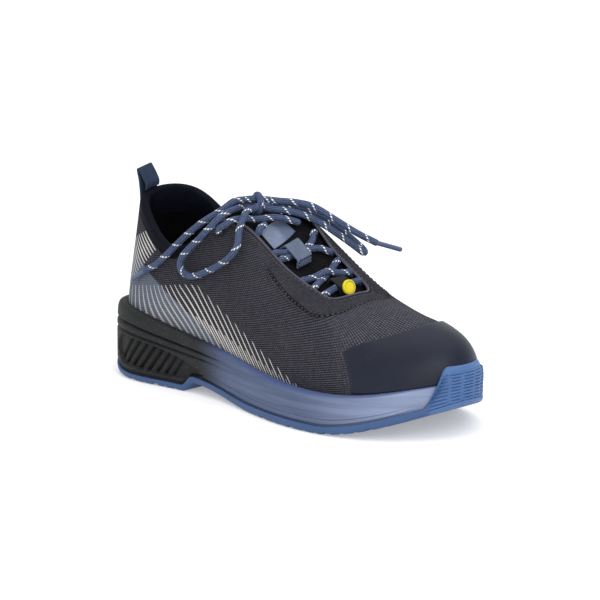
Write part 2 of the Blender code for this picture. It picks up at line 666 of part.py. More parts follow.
def make_badge():
    """A plain round button on the front of the loop at the foot of the throat."""
    axis = np.array(BADGE_FACING) / np.linalg.norm(BADGE_FACING)
    low = np.array(BADGE_PLACE) / 1000 - axis * BADGE_THICK / 2
    side = np.cross(axis, [0.0, 1.0, 0.0])
    side /= np.linalg.norm(side)
    turn = np.linspace(0, 2 * np.pi, BADGE_SIDES, endpoint=False)[:, None]
    spoke = np.cos(turn) * side + np.sin(turn) * np.cross(axis, side)
    rings = [low + axis * BADGE_THICK * rise + spoke * BADGE_RADIUS * share for rise, share in BADGE_PROFILE]
    ring_solid("badge", rings)


def make_pull_loop():
    """The webbing loop: sewn outside the heel, over in an arch, and down on the collar's rim."""
    u = np.linspace(-LOOP_HALF_WIDTH, LOOP_HALF_WIDTH, 5)
    ones = np.ones_like(u)
    off = LOOP_THICK / 2 + 2 * GAP
    edge = wall(u, ones)
    out = outward(u)
    rim = edge - out * (thickness(u, ones) * LOOP_INNER)[:, None]
    up = np.array([0.0, 0.0, LOOP_RISE])
    crown = edge + up + np.array([LOOP_LEAN, 0.0, 0.0])
    crown[:, 0] = crown[len(u) // 2, 0]
    path = [lifted(u, ones * LOOP_SEAMS[0], off), lifted(u, ones * LOOP_SEAMS[1], off),
            edge + out * LOOP_BULGE_OUT + up * LOOP_SHOULDER, crown,
            rim + up * LOOP_SHOULDER, rim + [0.0, 0.0, LOOP_FOOT]]
    path = curve_through(np.array(path), 4)
    run = np.gradient(path, axis=0)
    normal = np.cross(run, np.gradient(path, axis=1))
    normal /= np.linalg.norm(normal, axis=-1, keepdims=True)
    half = normal * LOOP_THICK / 2
    return patch_solid("pull_loop", path - half, path + half)


def curve_through(points, pieces):
    """A smooth curve through points with so many pieces between one and the next: cubics whose slope at a
    point is half the step from the point before it to the point after it."""
    points = np.asarray(points, float)
    before = np.concatenate([2 * points[:1] - points[1:2], points])[:-2]
    after = np.concatenate([points, 2 * points[-1:] - points[-2:-1]])[2:]
    start, end = points[:-1], points[1:]
    curve = []
    for t in np.arange(pieces) / pieces:
        curve.append(0.5 * (2 * start + (end - before) * t + (2 * before - 5 * start + 4 * end - after) * t**2
                            + (3 * start - before - 3 * end + after) * t**3))
    woven = np.stack(curve, 1).reshape(-1, *points.shape[1:])
    return np.concatenate([woven, points[-1:]])


def evenly(points, step):
    """Places about step apart on the smooth curve through points."""
    fine = curve_through(points, 24)
    run = np.concatenate([[0.0], np.cumsum(np.linalg.norm(np.diff(fine, axis=0), axis=1))])
    count = max(2, int(round(run[-1] / step)) + 1)
    at = np.linspace(0, run[-1], count)
    return np.stack([np.interp(at, run, fine[:, k]) for k in range(3)], -1)


def tube(name, points, radius):
    """A closed round tube along points."""
    run = np.gradient(points, axis=0)
    run /= np.linalg.norm(run, axis=1, keepdims=True)
    side = np.cross(run, [0.0, 0.0, 1.0])
    side /= np.linalg.norm(side, axis=1, keepdims=True)
    turn = np.linspace(0, 2 * np.pi, LACE_SIDES, endpoint=False)[None, :, None]
    spoke = np.cos(turn) * side[:, None] + np.sin(turn) * np.cross(side, run)[:, None]
    rings = points[:, None] + radius * spoke
    return ring_solid(name, rings)


def cord(name, points, diameter):
    """A stretch of lace as a curve with a round bevel and closed ends."""
    curve = bpy.data.curves.new(name, "CURVE")
    curve.dimensions = "3D"
    curve.bevel_depth = diameter / 2
    curve.bevel_resolution = 2
    curve.use_fill_caps = True
    spline = curve.splines.new("POLY")
    spline.points.add(len(points) - 1)
    spline.points.foreach_set("co", np.column_stack([points, np.ones(len(points))]).ravel())
    thing = bpy.data.objects.new(name, curve)
    bpy.context.scene.collection.objects.link(thing)
    curve.materials.append(material(name))
    return thing


def cut(target, cutter, operation="DIFFERENCE"):
    """Cuts one object with another, or joins it on, and keeps the other as a guide that isn't built."""
    step = target.modifiers.new(cutter.name, "BOOLEAN")
    step.operation = operation
    step.solver = "EXACT"
    step.object = cutter
    cutter.hide_render = True
    cutter.display_type = "WIRE"


def make_lace():
    """Strands across the tongue, joined where they cross, and the free stretches, knot and tips."""
    for name, strands in STRANDS.items():
        pieces = []
        for i, strand in enumerate(strands):
            along, across = np.array(strand).T
            points = tongue_top(along, across, LACE / 2 + LACE_REST)
            pieces.append(tube(name if i == 0 else f"{name}_{i}", evenly(points, 2 * LACE), LACE / 2))
        for other in pieces[1:]:
            cut(pieces[0], other, "UNION")
    for name, route in ROUTES.items():
        tip = "tip" in name
        points = np.array(route) / 1000
        cord(name, points if tip else evenly(points, CORD_STEP * LACE), LACE_TIP if tip else LACE)
    bpy.ops.mesh.primitive_uv_sphere_add(segments=12, ring_count=8, radius=1.0)
    knot = bpy.context.object
    knot.name = "lace_knot"
    knot.data.transform(Matrix.Translation(np.array(KNOT_PLACE) / 1000) @ Matrix.Diagonal(
        (*np.array(KNOT_SIZE) / 1000, 1.0)))
    knot.data.materials.append(material("lace_knot"))


def joined_patches(name, patches):
    """A guide object made of several closed patches, each a pair of inner and outer grids."""
    things = [patch_solid(f"{name}_{i}", *patch) for i, patch in enumerate(patches)]
    with bpy.context.temp_override(active_object=things[0], selected_editable_objects=things):
        bpy.ops.object.join()
    things[0].name = name
    return things[0]


def panel_patch(mirror, start, end, depth, out, slant=0.0, cols=12, rows=4, squeeze=1.0):
    """Inner and outer grids of one stretch of the heel panel, from start to end of its length."""
    s = np.linspace(start, end, cols)[None, :]
    half = PANEL_HALF * squeeze * np.sqrt(np.clip(s / PANEL_NOSE, 0.1, 1))
    half = half * np.clip(1 - s**PANEL_TAPER, PANEL_TIP, 1) ** PANEL_SHARPNESS
    rise = np.linspace(-1, 1, rows)[:, None]
    z = blend(*PANEL_MIDDLE, s) + rise * half
    u = blend(*PANEL_ENDS, s + slant * rise * half / PANEL_RUN)
    u = 1 - u * (1 - STATION["ankle_inner"]) / STATION["ankle_outer"] if mirror else u
    foot = foot_out(u)
    return beside(u, z, foot - depth), beside(u, z, foot + out)


def cut_heel_panels(midsole):
    """Sinks a panel in each side of the heel, with slanted slots that leave upright slats."""
    recess, slots = [], []
    face = SIDE_ROWS[0][1]
    for mirror in (False, True):
        recess.append(panel_patch(mirror, 0.0, 1.0, PANEL_DEPTH - face, PANEL_OUT))
        for i in range(SLOT_COUNT):
            s = blend(*SLOT_RUN, i / (SLOT_COUNT - 1))
            half = SLOT_WIDTH / 2 / PANEL_RUN
            deep = PANEL_DEPTH - face + SLOT_DEPTH
            slots.append(panel_patch(mirror, s - half, s + half, deep, face / 2 - SLOT_SINK, SLOT_SLANT,
                                     cols=2, rows=3, squeeze=SLOT_SHARE))
    cut(midsole, joined_patches("heel_panel_guide", recess))
    cut(midsole, joined_patches("heel_slot_guide", slots))


def cut_tread(outsole):
    """Parts the tread into lugs with grooves across it, and one along the heel and the forefoot."""
    for i, x in enumerate(CROSS_GROOVES):
        size = (GROOVE_WIDTH, 2 * BALL_WIDTH, 2 * GROOVE_DEPTH)
        groove = box(f"cross_groove_guide_{i}", (x, 0, ground(x)), size)
        groove.rotation_euler[1] = -math.atan((ground(x + 0.001) - ground(x - 0.001)) / 0.002)
        cut(outsole, groove)
    for i, (start, end) in enumerate(LONG_GROOVES):
        middle, run = (start + end) / 2, end - start
        cut(outsole, box(f"long_groove_guide_{i}", (middle, 0, 0), (run, GROOVE_WIDTH, 2 * GROOVE_DEPTH)))


def box(name, middle, size):
    """A box by its middle and its size."""
    bpy.ops.mesh.primitive_cube_add(size=1.0, location=middle)
    thing = bpy.context.object
    thing.name = name
    thing.data.transform(Matrix.Diagonal((*size, 1.0)))
    return thing


def cut_eyelets(upper):
    """The top pair of eyelets, one on each side, square to the wall."""
    for name, (u, v) in EYELETS.items():
        middle = wall(u, v)
        axis = Vector(lifted(u, v, 1.0) - middle)
        bpy.ops.mesh.primitive_cylinder_add(vertices=EYELET_SIDES, radius=EYELET / 2, depth=EYELET_DRILL,
                                            location=middle)
        drill = bpy.context.object
        drill.name = name
        drill.rotation_euler = axis.to_track_quat("Z", "Y").to_euler()
        cut(upper, drill)


def centre_on_sole(outsole):
    """Hangs every piece on one empty, moved so that the origin is under the middle of the sole."""
    corners = np.array(outsole.bound_box)
    middle = (corners.min(axis=0) + corners.max(axis=0)) / 2
    pieces = list(bpy.data.objects)
    shoe = bpy.data.objects.new("shoe", None)
    bpy.context.scene.collection.objects.link(shoe)
    shoe.location = (-middle[0], -middle[1], 0.0)
    for piece in pieces:
        piece.parent = shoe


def main():
    for thing in list(bpy.data.objects):
        bpy.data.objects.remove(thing, do_unlink=True)
    cut_tread(make_outsole())
    cut_heel_panels(make_midsole())
    make_insole()
    cut_eyelets(make_upper())
    make_toe_cap()
    make_tongue()
    make_tongue_trim()
    make_pull_loop()
    make_lace()
    centre_on_sole(bpy.data.objects["outsole"])


main()
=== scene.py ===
"""Dresses the frame of a low safety shoe: knitted upper, film toe cap, foam cup, rubber tread, round lace.

Every piece is worked out from the same wall as the solids: a closed table of sections round the foot.
Places are first taken in metres from the heel's end and the middle line, and moved to the frame at the end.
"""

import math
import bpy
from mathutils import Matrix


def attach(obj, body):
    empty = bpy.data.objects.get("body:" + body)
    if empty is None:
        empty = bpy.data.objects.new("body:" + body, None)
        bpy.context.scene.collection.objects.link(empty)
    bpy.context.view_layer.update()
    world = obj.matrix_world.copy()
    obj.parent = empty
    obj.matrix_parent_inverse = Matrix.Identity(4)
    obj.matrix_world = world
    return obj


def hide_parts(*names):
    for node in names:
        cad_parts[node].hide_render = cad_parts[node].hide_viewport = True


bl_info = {
    "name": "Safety shoe",
    "version": (1, 0, 0),
    "blender": (4, 5, 0),
    "location": "3D View > Sidebar > Shoe",
    "description": "Dresses the frame of a knitted safety shoe",
    "category": "Object",
}

import bmesh
import bpy
import numpy as np
from mathutils import Matrix

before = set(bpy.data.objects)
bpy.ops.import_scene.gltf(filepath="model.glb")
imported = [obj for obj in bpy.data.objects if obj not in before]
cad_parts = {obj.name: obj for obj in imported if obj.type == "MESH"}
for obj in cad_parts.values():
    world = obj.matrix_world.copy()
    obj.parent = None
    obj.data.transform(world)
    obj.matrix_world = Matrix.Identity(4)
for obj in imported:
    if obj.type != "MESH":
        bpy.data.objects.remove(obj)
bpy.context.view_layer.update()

# Where the heel's end and the middle line are in the frame
HEEL_END = np.array([-0.138564, 0.0032315, 0.0])
MM = 0.001

# The wall's driving sizes and sections, as in the solids
LENGTH = 0.290
BALL_WIDTH = 0.104
BACK_HEIGHT = 0.111
COLUMNS = ("along", "across", "bed", "cup", "top_along", "top_across", "top",
           "rise", "splay", "reach", "drop", "flare", "pad")
WALL_SECTIONS = {
    "heel_back":        (0.008, 0.000, 0.27, 0.40, 0.020, 0.000, 1.000, 0.22, 0, 0.22, 84, 0.0055, 1.0),
    "heel_outer":       (0.068, -0.305, 0.27, 0.42, 0.082, -0.208, 0.925, 0.24, 0, 0.22, 82, 0.0055, 1.0),
    "ankle_outer":      (0.215, -0.335, 0.26, 0.355, 0.210, -0.296, 0.770, 0.16, 4, 0.14, 78, 0.0060, 1.0),
    "waist_outer":      (0.385, -0.345, 0.23, 0.285, 0.335, -0.240, 0.965, 0.24, 8, 0.24, 60, 0.0050, 0.6),
    "ball_outer":       (0.640, -0.455, 0.18, 0.215, 0.510, -0.205, 0.795, 0.24, 6, 0.20, 28, 0.0085, 0.0),
    "toe_outer":        (0.830, -0.390, 0.20, 0.235, 0.610, -0.190, 0.675, 0.26, 4, 0.33, 13, 0.0055, 0.0),
    "toe_corner_outer": (0.917, -0.215, 0.24, 0.28, 0.645, -0.140, 0.640, 0.27, 7, 0.41, 12, 0.0030, 0.0),
    "toe_tip":          (0.953, 0.020, 0.27, 0.30, 0.655, 0.010, 0.650, 0.325, 13, 0.50, 11, 0.0025, 0.0),
    "toe_corner_inner": (0.924, 0.213, 0.24, 0.28, 0.640, 0.145, 0.640, 0.305, 5, 0.40, 15, 0.0030, 0.0),
    "toe_inner":        (0.850, 0.350, 0.20, 0.235, 0.600, 0.190, 0.685, 0.22, 4, 0.24, 20, 0.0040, 0.0),
    "ball_inner":       (0.700, 0.430, 0.18, 0.215, 0.510, 0.215, 0.815, 0.23, 4, 0.18, 24, 0.0050, 0.0),
    "waist_inner":      (0.430, 0.312, 0.23, 0.29, 0.370, 0.245, 0.965, 0.26, 6, 0.24, 60, 0.0060, 0.6),
    "ankle_inner":      (0.245, 0.318, 0.26, 0.35, 0.215, 0.300, 0.795, 0.16, 4, 0.14, 78, 0.0060, 1.0),
    "heel_inner":       (0.080, 0.285, 0.27, 0.42, 0.085, 0.228, 1.000, 0.24, 0, 0.22, 82, 0.0055, 1.0),
}
WALL = 0.0026
COLLAR_PAD = 0.0034
PAD_START, PAD_END = 0.70, 0.95
EDGE_LEAD = 0.012
CLIMBING_SHARE = 0.6
HALVINGS = 26
GAP = 0.0003

# The ground line and the sole, as in the solids, only that the heel panel is sunk deeper
HEEL_BEVEL, HEEL_BEVEL_RISE = 0.034, 0.0060
HEEL_FRONT, HEEL_BREAST = 0.078, 0.010
FOREFOOT_BACK, ARCH_RISE = 0.150, 0.007
TOE_BREAK, TOE_SPRING, TOE_SPRING_POWER = 0.212, 0.0245, 1.65
HEEL_TREAD, FOREFOOT_TREAD = 0.0030, 0.0042
EDGE_HEIGHT, EDGE_WALL, EDGE_ROUND = 0.0010, 0.0014, 0.0024
TUCK_START, TUCK_END = 0.075, 0.043
CLIMB_START, CLIMB_END = 0.0425, 0.0175
TUCKED_OUT = 0.0016
BUMPER_WALL, BUMPER_TOP = 0.0024, 0.0435
BUMPER_BAND, BUMPER_STEP, RIB_DEPTH = 0.80, 0.0014, 0.0010
SIDE_HEEL_END, SIDE_FOREFOOT_START = 0.085, 0.135
PANEL_ENDS, PANEL_MIDDLE, PANEL_HALF = (0.058, 0.184), (0.0195, 0.0125), 0.0098
PANEL_SINK, PANEL_RUN, PANEL_NOSE, PANEL_TAPER, PANEL_SHARPNESS = 0.0021, 0.083, 0.10, 2.8, 0.8
SLOT_COUNT, SLOT_WIDTH, SLOT_DEPTH, SLOT_SLANT, SLOT_RUN = 8, 0.0022, 0.0020, 0.75, (0.13, 0.69)
CROSS_GROOVES = (0.034, 0.056, 0.164, 0.191, 0.218, 0.244)
LONG_GROOVES = ((0.012, 0.072), (0.158, 0.236))
GROOVE_WIDTH, GROOVE_DEPTH = 0.0034, 0.0016
BED_GAP = 0.00045
INSOLE, INSOLE_INSET = 0.0040, 0.0012

# The toe cap, the tongue and its trim, as in the solids
CAP_OUTER, CAP_INNER, CAP_TOP, CAP_FALL, CAP_LIFT, CAP_THICK = 0.108, 0.095, 0.565, 0.200, 0.00055, 0.0010
TONGUE_SINK = 0.0004
TONGUE_SECTIONS = (
    (0.637, 0.014, -0.0060, 0.0010, 0.92, 0.0),
    (0.637, 0.006, -0.0026, 0.0012, 0.98, 0.0),
    (0.637, 0.000, -TONGUE_SINK, 0.0012, 1.0, 0.0),
    (0.600, 0.000, -TONGUE_SINK, 0.0008, 1.0, 0.0),
    (0.550, 0.000, -TONGUE_SINK, -0.0008, 1.0, 0.0),
    (0.500, 0.000, -TONGUE_SINK, -0.0020, 1.0, 0.0),
    (0.450, 0.000, -TONGUE_SINK, -0.0025, 1.0, 0.0),
    (0.400, 0.000, -TONGUE_SINK, -0.0018, 1.0, 0.0),
    (0.372, 0.000, -TONGUE_SINK, -0.0005, 1.0, 0.0),
    (0.372, -0.008, 0.0046, 0.0018, 0.90, 0.0012),
    (0.372, -0.014, 0.0100, 0.0030, 0.78, 0.0022),
)
TONGUE, TONGUE_LEAN, TONGUE_GAP = 0.0042, 0.25, 0.0009
TONGUE_UNDERLAP = (0.82, 0.91, 1.0)
TONGUE_ACROSS = (-0.75, -0.45, -0.15, 0.15, 0.45, 0.75)
LABEL = {"along": (0.400, 0.454), "across": (-0.66, 0.50), "skew": -0.019, "lift": (0.0003, 0.0009)}
KEEPER = {"along": (0.463, 0.517), "across": (-0.52, 0.14), "skew": -0.013, "thick": 0.0014}
BADGE_LOOP = {"along": (0.590, 0.630), "across": (-0.26, 0.34), "skew": 0.0, "thick": 0.0012}
BADGE_PLACE, BADGE_FACING = (185.6, -1.2, 75.6), (0.97, -0.06, 0.23)
BADGE_RADIUS, BADGE_THICK = 0.0046, 0.0016
STRAP_RAMP = 0.16
EYELETS = ((0.2125, 0.905), (0.780, 0.90))
LOOP_HALF_WIDTH, LOOP_THICK, LOOP_RISE, LOOP_LEAN = 0.0138, 0.0014, 0.0150, -0.0040
LOOP_SEAMS, LOOP_BULGE_OUT, LOOP_SHOULDER, LOOP_INNER, LOOP_FOOT = (0.84, 0.94), 0.0026, 0.45, 0.35, 0.0022

# The lace: strands on the tongue (along and across the throat) and free stretches in millimetres
LACE, LACE_REST, LACE_TIP = 0.0042, 0.0006, 0.0030
STRAP_HEIGHT = LACE + 1.8 * LACE_REST
STRANDS = {
    "lace_bar_bottom": (((0.622, -0.86), (0.610, 0.0), (0.603, 0.86)),),
    "lace_cross_lower": (((0.5645, -0.88), (0.568, 0.0), (0.573, 0.87)),
                         ((0.596, -0.87), (0.568, 0.0), (0.536, 0.88))),
    "lace_cross_upper": (((0.481, -0.86), (0.489, 0.0), (0.4955, 0.60), (0.511, 0.88)),
                         ((0.499, -0.88), (0.489, 0.0), (0.4805, 0.55), (0.466, 0.86))),
}
HELD_ROUTES = {
    "lace_top_bar": ((103.6, -31.0, 102.9), (104.8, -31.0, 105.0), (108.0, -29.6, 107.2),
                     (111.2, -27.0, 110.0), (113.8, -20.4, 110.5), (114.8, -9.0, 108.6),
                     (118.0, 2.0, 108.6), (122.2, 9.0, 106.8), (126.4, 14.0, 104.9)),
    "lace_top_strand": ((124.2, -17.6, 102.6), (122.6, -14.0, 105.0), (121.2, -9.4, 106.0)),
}
FREE_ROUTES = {
    "lace_end_outer": ((103.9, -9.5, 119.4), (101.4, -16.0, 118.9), (97.2, -23.0, 113.5),
                       (87.0, -29.5, 105.6), (76.0, -32.4, 96.6), (66.3, -33.4, 88.4),
                       (52.9, -35.6, 76.5), (41.8, -35.8, 70.2)),
    "lace_loop_outer": ((102.6, -9.0, 114.6), (104.6, -17.0, 114.9), (105.2, -24.8, 113.9),
                        (103.2, -31.2, 110.2), (98.6, -33.8, 104.8), (89.4, -35.2, 96.0),
                        (79.6, -36.6, 87.2), (75.2, -37.2, 80.3), (77.1, -37.5, 75.0),
                        (86.7, -38.0, 73.5), (103.6, -38.5, 80.0), (117.2, -37.4, 88.1),
                        (123.8, -34.9, 96.7), (120.6, -29.7, 106.5), (116.6, -19.6, 115.2),
                        (111.5, -9.0, 114.6)),
    "lace_end_inner": ((109.5, 6.8, 117.6), (114.0, 11.0, 116.9), (122.6, 18.0, 116.0),
                       (131.3, 24.0, 113.4), (143.4, 30.0, 106.2), (155.5, 36.0, 98.9),
                       (166.0, 41.6, 93.6)),
    "lace_loop_inner": ((113.0, 4.5, 112.6), (119.5, 11.0, 111.6), (127.5, 18.6, 108.6),
                        (135.3, 25.2, 103.8), (144.9, 31.0, 97.0), (153.7, 36.4, 90.0),
                        (156.9, 40.0, 86.2), (153.9, 43.4, 87.0), (147.4, 40.8, 92.8),
                        (139.5, 36.0, 99.9), (130.8, 29.8, 106.5), (122.0, 22.2, 111.2),
                        (113.8, 14.0, 113.2), (109.2, 8.6, 112.6)),
}
TIP_ROUTES = {
    "lace_tip_outer": ((41.4, -35.8, 69.95), (28.6, -35.0, 63.0)),
    "lace_tip_inner": ((166.4, 41.8, 93.45), (180.4, 48.0, 90.4)),
}
KNOT_STRANDS = (((103.9, -9.5, 119.4), (106.4, -1.6, 119.2), (109.5, 6.8, 117.6)),
                ((102.6, -9.0, 114.6), (106.0, -1.6, 114.2), (113.0, 4.5, 112.6)),
                ((111.5, -9.0, 114.6), (110.4, -0.6, 115.4), (109.2, 8.6, 112.6)))
KNOT_WRAP = {"middle": (107.2, -1.8, 116.2), "along": (0.35, 0.93, -0.10), "radii": (5.0, 5.4)}

# The photo's camera: angles in degrees, distances in metres, the view's focal length in pixels of 600
CAMERA = {"turn": 45.74, "fall": 13.04, "roll": -0.60, "away": 2.112, "focal": 3472.0,
          "aim": (0.148, 0.0, 0.050), "centre_off": (-6.9, 18.87)}
FRAME_PIXELS = 600
SENSOR, CLIP_END = 36.0, 50.0


def smooth(low, high, at):
    """0 at low, 1 at high, and an even S between them: 3t^2 - 2t^3."""
    t = np.clip((at - low) / (high - low), 0.0, 1.0)
    return t * t * (3 - 2 * t)


def blend(first, second, share):
    """first at share 0, second at share 1."""
    return first + (second - first) * share


def unit(v):
    """v in its own direction, one long."""
    v = np.asarray(v, float)
    return v / np.linalg.norm(v, axis=-1, keepdims=True)


def halved(low, high, short_of):
    """The places between low and high up to which short_of holds, found by halving."""
    for _ in range(HALVINGS):
        middle = (low + high) / 2
        short = short_of(middle)
        low = np.where(short, middle, low)
        high = np.where(short, high, middle)
    return (low + high) / 2


def closed_spline(knots, values, at):
    """The periodic cubic through rows of values at knots from 0 to 1, read at the places at."""
    n = len(knots)
    step = np.diff(np.append(knots, 1.0))
    before = np.roll(step, 1)
    row = np.arange(n)
    system = np.zeros((n, n))
    system[row, row] = 2 * (before + step)
    system[row, row - 1] += before
    system[row, (row + 1) % n] += step
    after = np.roll(values, -1, axis=0)
    slope = (after - values) / step[:, None]
    bend = np.linalg.solve(system, 6 * (slope - np.roll(slope, 1, axis=0)))
    at = np.asarray(at, float) % 1.0
    i = np.searchsorted(knots, at, side="right") - 1
    h = step[i][..., None]
    b = (at - knots[i])[..., None] / h
    a = 1 - b
    curve = a * values[i] + b * after[i]
    return curve + ((a**3 - a) * bend[i] + (b**3 - b) * np.roll(bend, -1, axis=0)[i]) * h * h / 6


def section_table():
    """The knots round the foot, by distance from section to section, and the table in metres and radians."""
    rows = np.array(list(WALL_SECTIONS.values()), float)
    scale = {"along": LENGTH, "top_along": LENGTH, "across": BALL_WIDTH, "top_across": BALL_WIDTH,
             "bed": BACK_HEIGHT, "cup": BACK_HEIGHT, "top": BACK_HEIGHT, "rise": BACK_HEIGHT,
             "reach": BACK_HEIGHT, "splay": math.radians(1), "drop": math.radians(1)}
    rows = rows * [scale.get(name, 1.0) for name in COLUMNS]
    plan = rows[:, :2]
    stride = np.linalg.norm(np.roll(plan, -1, axis=0) - plan, axis=1)
    knots = np.concatenate([[0.0], np.cumsum(stride)[:-1]]) / stride.sum()
    return knots, rows


KNOTS, ROWS = section_table()
STATION = dict(zip(WALL_SECTIONS, KNOTS))
TOE = STATION["toe_tip"]


def column(u, *names):
    """The named columns of the section table at the places u round the foot."""
    values = closed_spline(KNOTS, ROWS, u)
    found = [values[..., COLUMNS.index(name)] for name in names]
    return found[0] if len(found) == 1 else found


def outward(u):
    """The level direction that points out of the foot, square to its plan outline."""
    step = 1e-4
    ahead = np.stack(column(u + step, "along", "across"), -1)
    behind = np.stack(column(u - step, "along", "across"), -1)
    run = unit(ahead - behind)
    return np.stack([run[..., 1], -run[..., 0], np.zeros_like(run[..., 0])], -1)


def handles(u):
    """The four control points of the wall's section at u: foot, lower handle, upper handle and edge."""
    x, y, z, top_x, top_y, top_z = column(u, "along", "across", "bed", "top_along", "top_across", "top")
    rise, splay, reach, drop = (c[..., None] for c in column(u, "rise", "splay", "reach", "drop"))
    out, up = outward(u), np.array([0.0, 0.0, 1.0])
    foot = np.stack([x, y, z], -1)
    edge = np.stack([top_x, top_y, top_z], -1)
    away = unit((foot - edge) * [1.0, 1.0, 0.0] + out * EDGE_LEAD)
    lower = foot + rise * (out * np.sin(splay) + up * np.cos(splay))
    upper = edge + reach * (away * np.cos(drop) - up * np.sin(drop))
    return foot, lower, upper, edge


def cubic(points, t):
    """The cubic with four control points at the shares t."""
    s = 1 - t
    return s**3 * points[0] + 3 * s * s * t * points[1] + 3 * s * t * t * points[2] + t**3 * points[3]


def wall(u, v):
    """The upper's outer face: a cubic from the bed edge (v 0) to the collar or throat edge (v 1)."""
    return cubic(handles(np.asarray(u, float)), np.asarray(v, float)[..., None])


def wall_normal(u, v):
    """The direction out of the wall: its two runs, round the foot and up, multiplied crosswise."""
    u, v = np.asarray(u, float), np.asarray(v, float)
    step = 1e-3
    along = wall(u + step, v) - wall(u - step, v)
    rise = wall(u, np.clip(v + step, 0, 1)) - wall(u, np.clip(v - step, 0, 1))
    return unit(np.cross(along, rise))


def lifted(u, v, lift):
    """The wall moved out by lift along its own normal, or in where lift is negative."""
    return wall(u, v) + wall_normal(u, v) * np.asarray(lift, float)[..., None]


def thickness(u, v):
    """The upper's wall, thicker where the collar is padded."""
    return WALL + COLLAR_PAD * np.clip(column(u, "pad"), 0, 1) * smooth(PAD_START, PAD_END, v)


def height_share(u, z):
    """The v at which the wall is z high, found by halving its lower part, where it only climbs."""
    heights = [point[..., 2] for point in handles(u)]
    low = np.zeros(np.broadcast_shapes(u.shape, np.shape(z)))
    return halved(low, np.full_like(low, CLIMBING_SHARE), lambda v: cubic(heights, v) < z)


def beside(u, z, out):
    """A place at height z, out from the wall. Below the bed edge the wall goes straight down."""
    spot = wall(u, height_share(u, z)) + outward(u) * np.asarray(out, float)[..., None]
    spot[..., 2] = z
    return spot


def ground(x):
    """The height of the tread: a bevelled heel, an arch that starts at the heel breast, and a toe spring."""
    bevel = HEEL_BEVEL_RISE * np.clip((HEEL_BEVEL - x) / HEEL_BEVEL, 0, None) ** 2
    arch = smooth(HEEL_FRONT, HEEL_FRONT + HEEL_BREAST, x) * (1 - smooth(HEEL_FRONT, FOREFOOT_BACK, x))
    spring = np.clip((x - TOE_BREAK) / (LENGTH - TOE_BREAK), 0, None) ** TOE_SPRING_POWER
    return bevel + ARCH_RISE * arch + TOE_SPRING * spring


def tread(x):
    """The outsole's thickness along the foot."""
    return blend(HEEL_TREAD, FOREFOOT_TREAD, smooth(HEEL_FRONT, FOREFOOT_BACK, x))


def on_ground(u, out, lift):
    """A place out from the wall's foot, lift above the tread there. lift is a number or a function of x."""
    spot = beside(u, np.zeros_like(u), out)
    x = spot[..., 0]
    spot[..., 2] = ground(x) + (lift(x) if callable(lift) else lift)
    return spot


def from_toe(u):
    """How far u is from the toe tip, as a share of the foot's girth, negative on the outer side."""
    return u - TOE


def tuck(u):
    """1 where the midsole is drawn in behind the bumper."""
    return smooth(TUCK_START, TUCK_END, np.abs(from_toe(u)))


def climb(u):
    """1 where the bumper has its full height, 0 where it is as low as the edge."""
    return smooth(CLIMB_START, CLIMB_END, np.abs(from_toe(u)))


def foot_out(u):
    """How far the midsole's foot stands out of the wall."""
    return blend(column(u, "flare"), TUCKED_OUT, tuck(u))


def throat_u(along, side):
    """The place round the foot where the throat's edge on one side is this far along, found by halving."""
    along = np.asarray(along, float)
    low = np.full_like(along, STATION["waist_outer" if side < 0 else "waist_inner"])
    return halved(low, np.full_like(along, TOE), lambda u: column(u, "top_along") < along)


def under_edge(along, side, v):
    """A place just inside the upper, near its throat edge."""
    u = throat_u(along, side)
    v = np.broadcast_to(v, u.shape)
    return lifted(u, v, -(thickness(u, v) + TONGUE_GAP))


def tongue_crown(along):
    """The tongue's crown where it lies in the throat."""
    rows = np.array([row for row in TONGUE_SECTIONS if row[1] == 0.0])[::-1]
    return np.interp(along, rows[:, 0] * LENGTH, rows[:, 3])


def tongue_top(along, across, lift):
    """The tongue's face in the throat: across is -1 at the outer edge and 1 at the inner edge."""
    along, across, lift = np.broadcast_arrays(np.asarray(along, float) * LENGTH, across, lift)

    def face(x, w):
        outer, inner = under_edge(x, -1, 1.0), under_edge(x, 1, 1.0)
        spot = blend(outer, inner, ((1 + w) / 2)[..., None])
        spot[..., 2] += tongue_crown(x) * (1 - w * w) - TONGUE_SINK
        return spot

    step = 1e-3
    normal = unit(np.cross(face(along + step, across) - face(along - step, across),
                           face(along, across + step) - face(along, across - step)))
    return face(along, across) + normal * lift[..., None]


def curve_through(points, pieces):
    """A smooth curve through points with so many pieces between one and the next: cubics whose slope at a
    point is half the step from the point before it to the point after it."""
    points = np.asarray(points, float)
    before = np.concatenate([2 * points[:1] - points[1:2], points])[:-2]
    after = np.concatenate([points, 2 * points[-1:] - points[-2:-1]])[2:]
    start, end = points[:-1], points[1:]
    t = (np.arange(pieces) / pieces).reshape(1, -1, *[1] * (points.ndim - 1))
    start, end, before, after = (part[:, None] for part in (start, end, before, after))
    curve = 0.5 * (2 * start + (end - before) * t + (2 * before - 5 * start + 4 * end - after) * t**2
                   + (3 * start - before - 3 * end + after) * t**3)
    return np.concatenate([curve.reshape(-1, *points.shape[1:]), points[-1:]])


def run_of(points):
    """The distance run along a row of points, from 0."""
    return np.concatenate([[0.0], np.cumsum(np.linalg.norm(np.diff(points, axis=0), axis=1))])


def read_along(at, run, rows):
    """Rows of three values, given at the distances run, read at the distances at."""
    return np.stack([np.interp(at, run, rows[:, k]) for k in range(3)], -1)


def evenly(points, step):
    """Places about step apart on the smooth curve through points."""
    fine = curve_through(points, 24)
    run = run_of(fine)
    at = np.linspace(0, run[-1], max(2, int(round(run[-1] / step)) + 1))
    return read_along(at, run, fine)


def crowded(count, ends):
    """Shares from 0 to 1 that stand closer together at both ends: k - ends sin(2 pi k) / 2 pi."""
    k = np.linspace(0, 1, count)
    return k - ends * np.sin(2 * np.pi * k) / (2 * np.pi)


